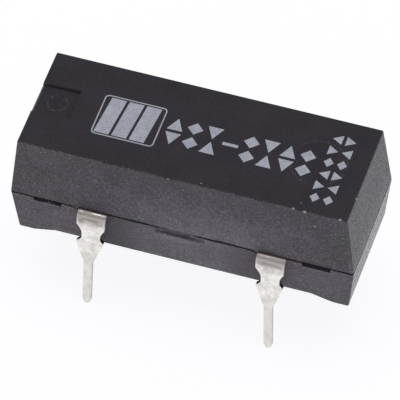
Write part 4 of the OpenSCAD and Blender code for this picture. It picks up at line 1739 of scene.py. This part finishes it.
@dataclass
class Studio:
    """The pale table, the lights and the camera.

    The camera's and the table's lengths are in millimetres, and the lights' and the clips' are in
    metres. The angles are in degrees.
    """

    azimuth: float = 19.053
    elevation: float = 50.598
    roll: float = -1.231
    distance: float = 325.435
    aim_height: float = 6.75
    slide: Span = (-0.0767, -0.8394)
    lens: float = 540.0
    film: float = 36.0
    near: float = 0.01
    far: float = 50.0
    table: float = 4000.0
    table_drop: float = 0.002
    sky: float = 0.26
    overhead: float = 0.55
    overhead_width: float = 0.48
    overhead_depth: float = 0.30
    overhead_place: Point = (0.0, 0.05, 0.55)

    def camera(self) -> None:
        """A long lens at the photograph's viewing angle.

        Formula: the camera stands back from the aim point along the direction that the azimuth and
        the elevation give, slides a little in its own plane to frame the part, and rolls about its
        line of sight.
        """
        a, e, r = radians(self.azimuth), radians(self.elevation), radians(self.roll)
        back = Vector((sin(a) * cos(e), -cos(a) * cos(e), sin(e)))
        right = Vector((cos(a), sin(a), 0.0))
        up = back.cross(right)
        right, up = right * cos(r) + up * sin(r), up * cos(r) - right * sin(r)
        across, over = self.slide
        place = Vector((0, 0, self.aim_height)) + back * self.distance + right * across + up * over
        data = bpy.data.cameras.new("camera")
        data.lens = self.lens
        data.sensor_width = self.film
        data.sensor_fit = "HORIZONTAL"
        data.clip_start, data.clip_end = self.near, self.far
        camera = bpy.data.objects.new("camera", data)
        bpy.context.scene.collection.objects.link(camera)
        turned = Matrix((right, up, back)).transposed().to_4x4()
        camera.matrix_world = Matrix.Translation(place * MM) @ turned
        bpy.context.scene.camera = camera

    def floor(self) -> None:
        """The table under the pin tips."""
        half, low = self.table / 2, -self.table_drop
        corners = np.array([[-half, -half, low], [half, -half, low], [half, half, low], [-half, half, low]])
        table = place_mesh("table", corners, [[0, 1, 2, 3]], None)
        dress(table, FloorFinish().build())

    def lights(self) -> None:
        """An even sky and a soft box overhead."""
        world = bpy.data.worlds.new("studio_sky")
        world.use_nodes = True
        sky = world.node_tree.nodes["Background"]
        sky.inputs["Color"].default_value = (1.0, 1.0, 1.0, 1.0)
        sky.inputs["Strength"].default_value = self.sky
        bpy.context.scene.world = world
        data = bpy.data.lights.new("overhead_box", "AREA")
        data.shape = "RECTANGLE"
        data.size, data.size_y = self.overhead_width, self.overhead_depth
        data.energy = self.overhead
        box = bpy.data.objects.new("overhead_box", data)
        box.location = self.overhead_place
        bpy.context.scene.collection.objects.link(box)

    def build(self) -> None:
        """Sets up the whole studio."""
        bpy.context.scene.view_settings.view_transform = "Standard"
        self.camera()
        self.floor()
        self.lights()


def main() -> None:
    """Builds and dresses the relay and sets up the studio."""
    logging.basicConfig(level=logging.INFO, format="%(name)s: %(message)s")
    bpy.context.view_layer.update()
    Studio().build()
    log.info("studio set up")
    for assembly in (MouldedBody(), Leads(), Coil(), ReedSwitch(), Print()):
        for piece in assembly.build():
            log.info("%s: %d faces", piece.name, len(piece.data.polygons))
        log.info("%s dressed", type(assembly).__name__)


if __name__ == "__main__":
    main()
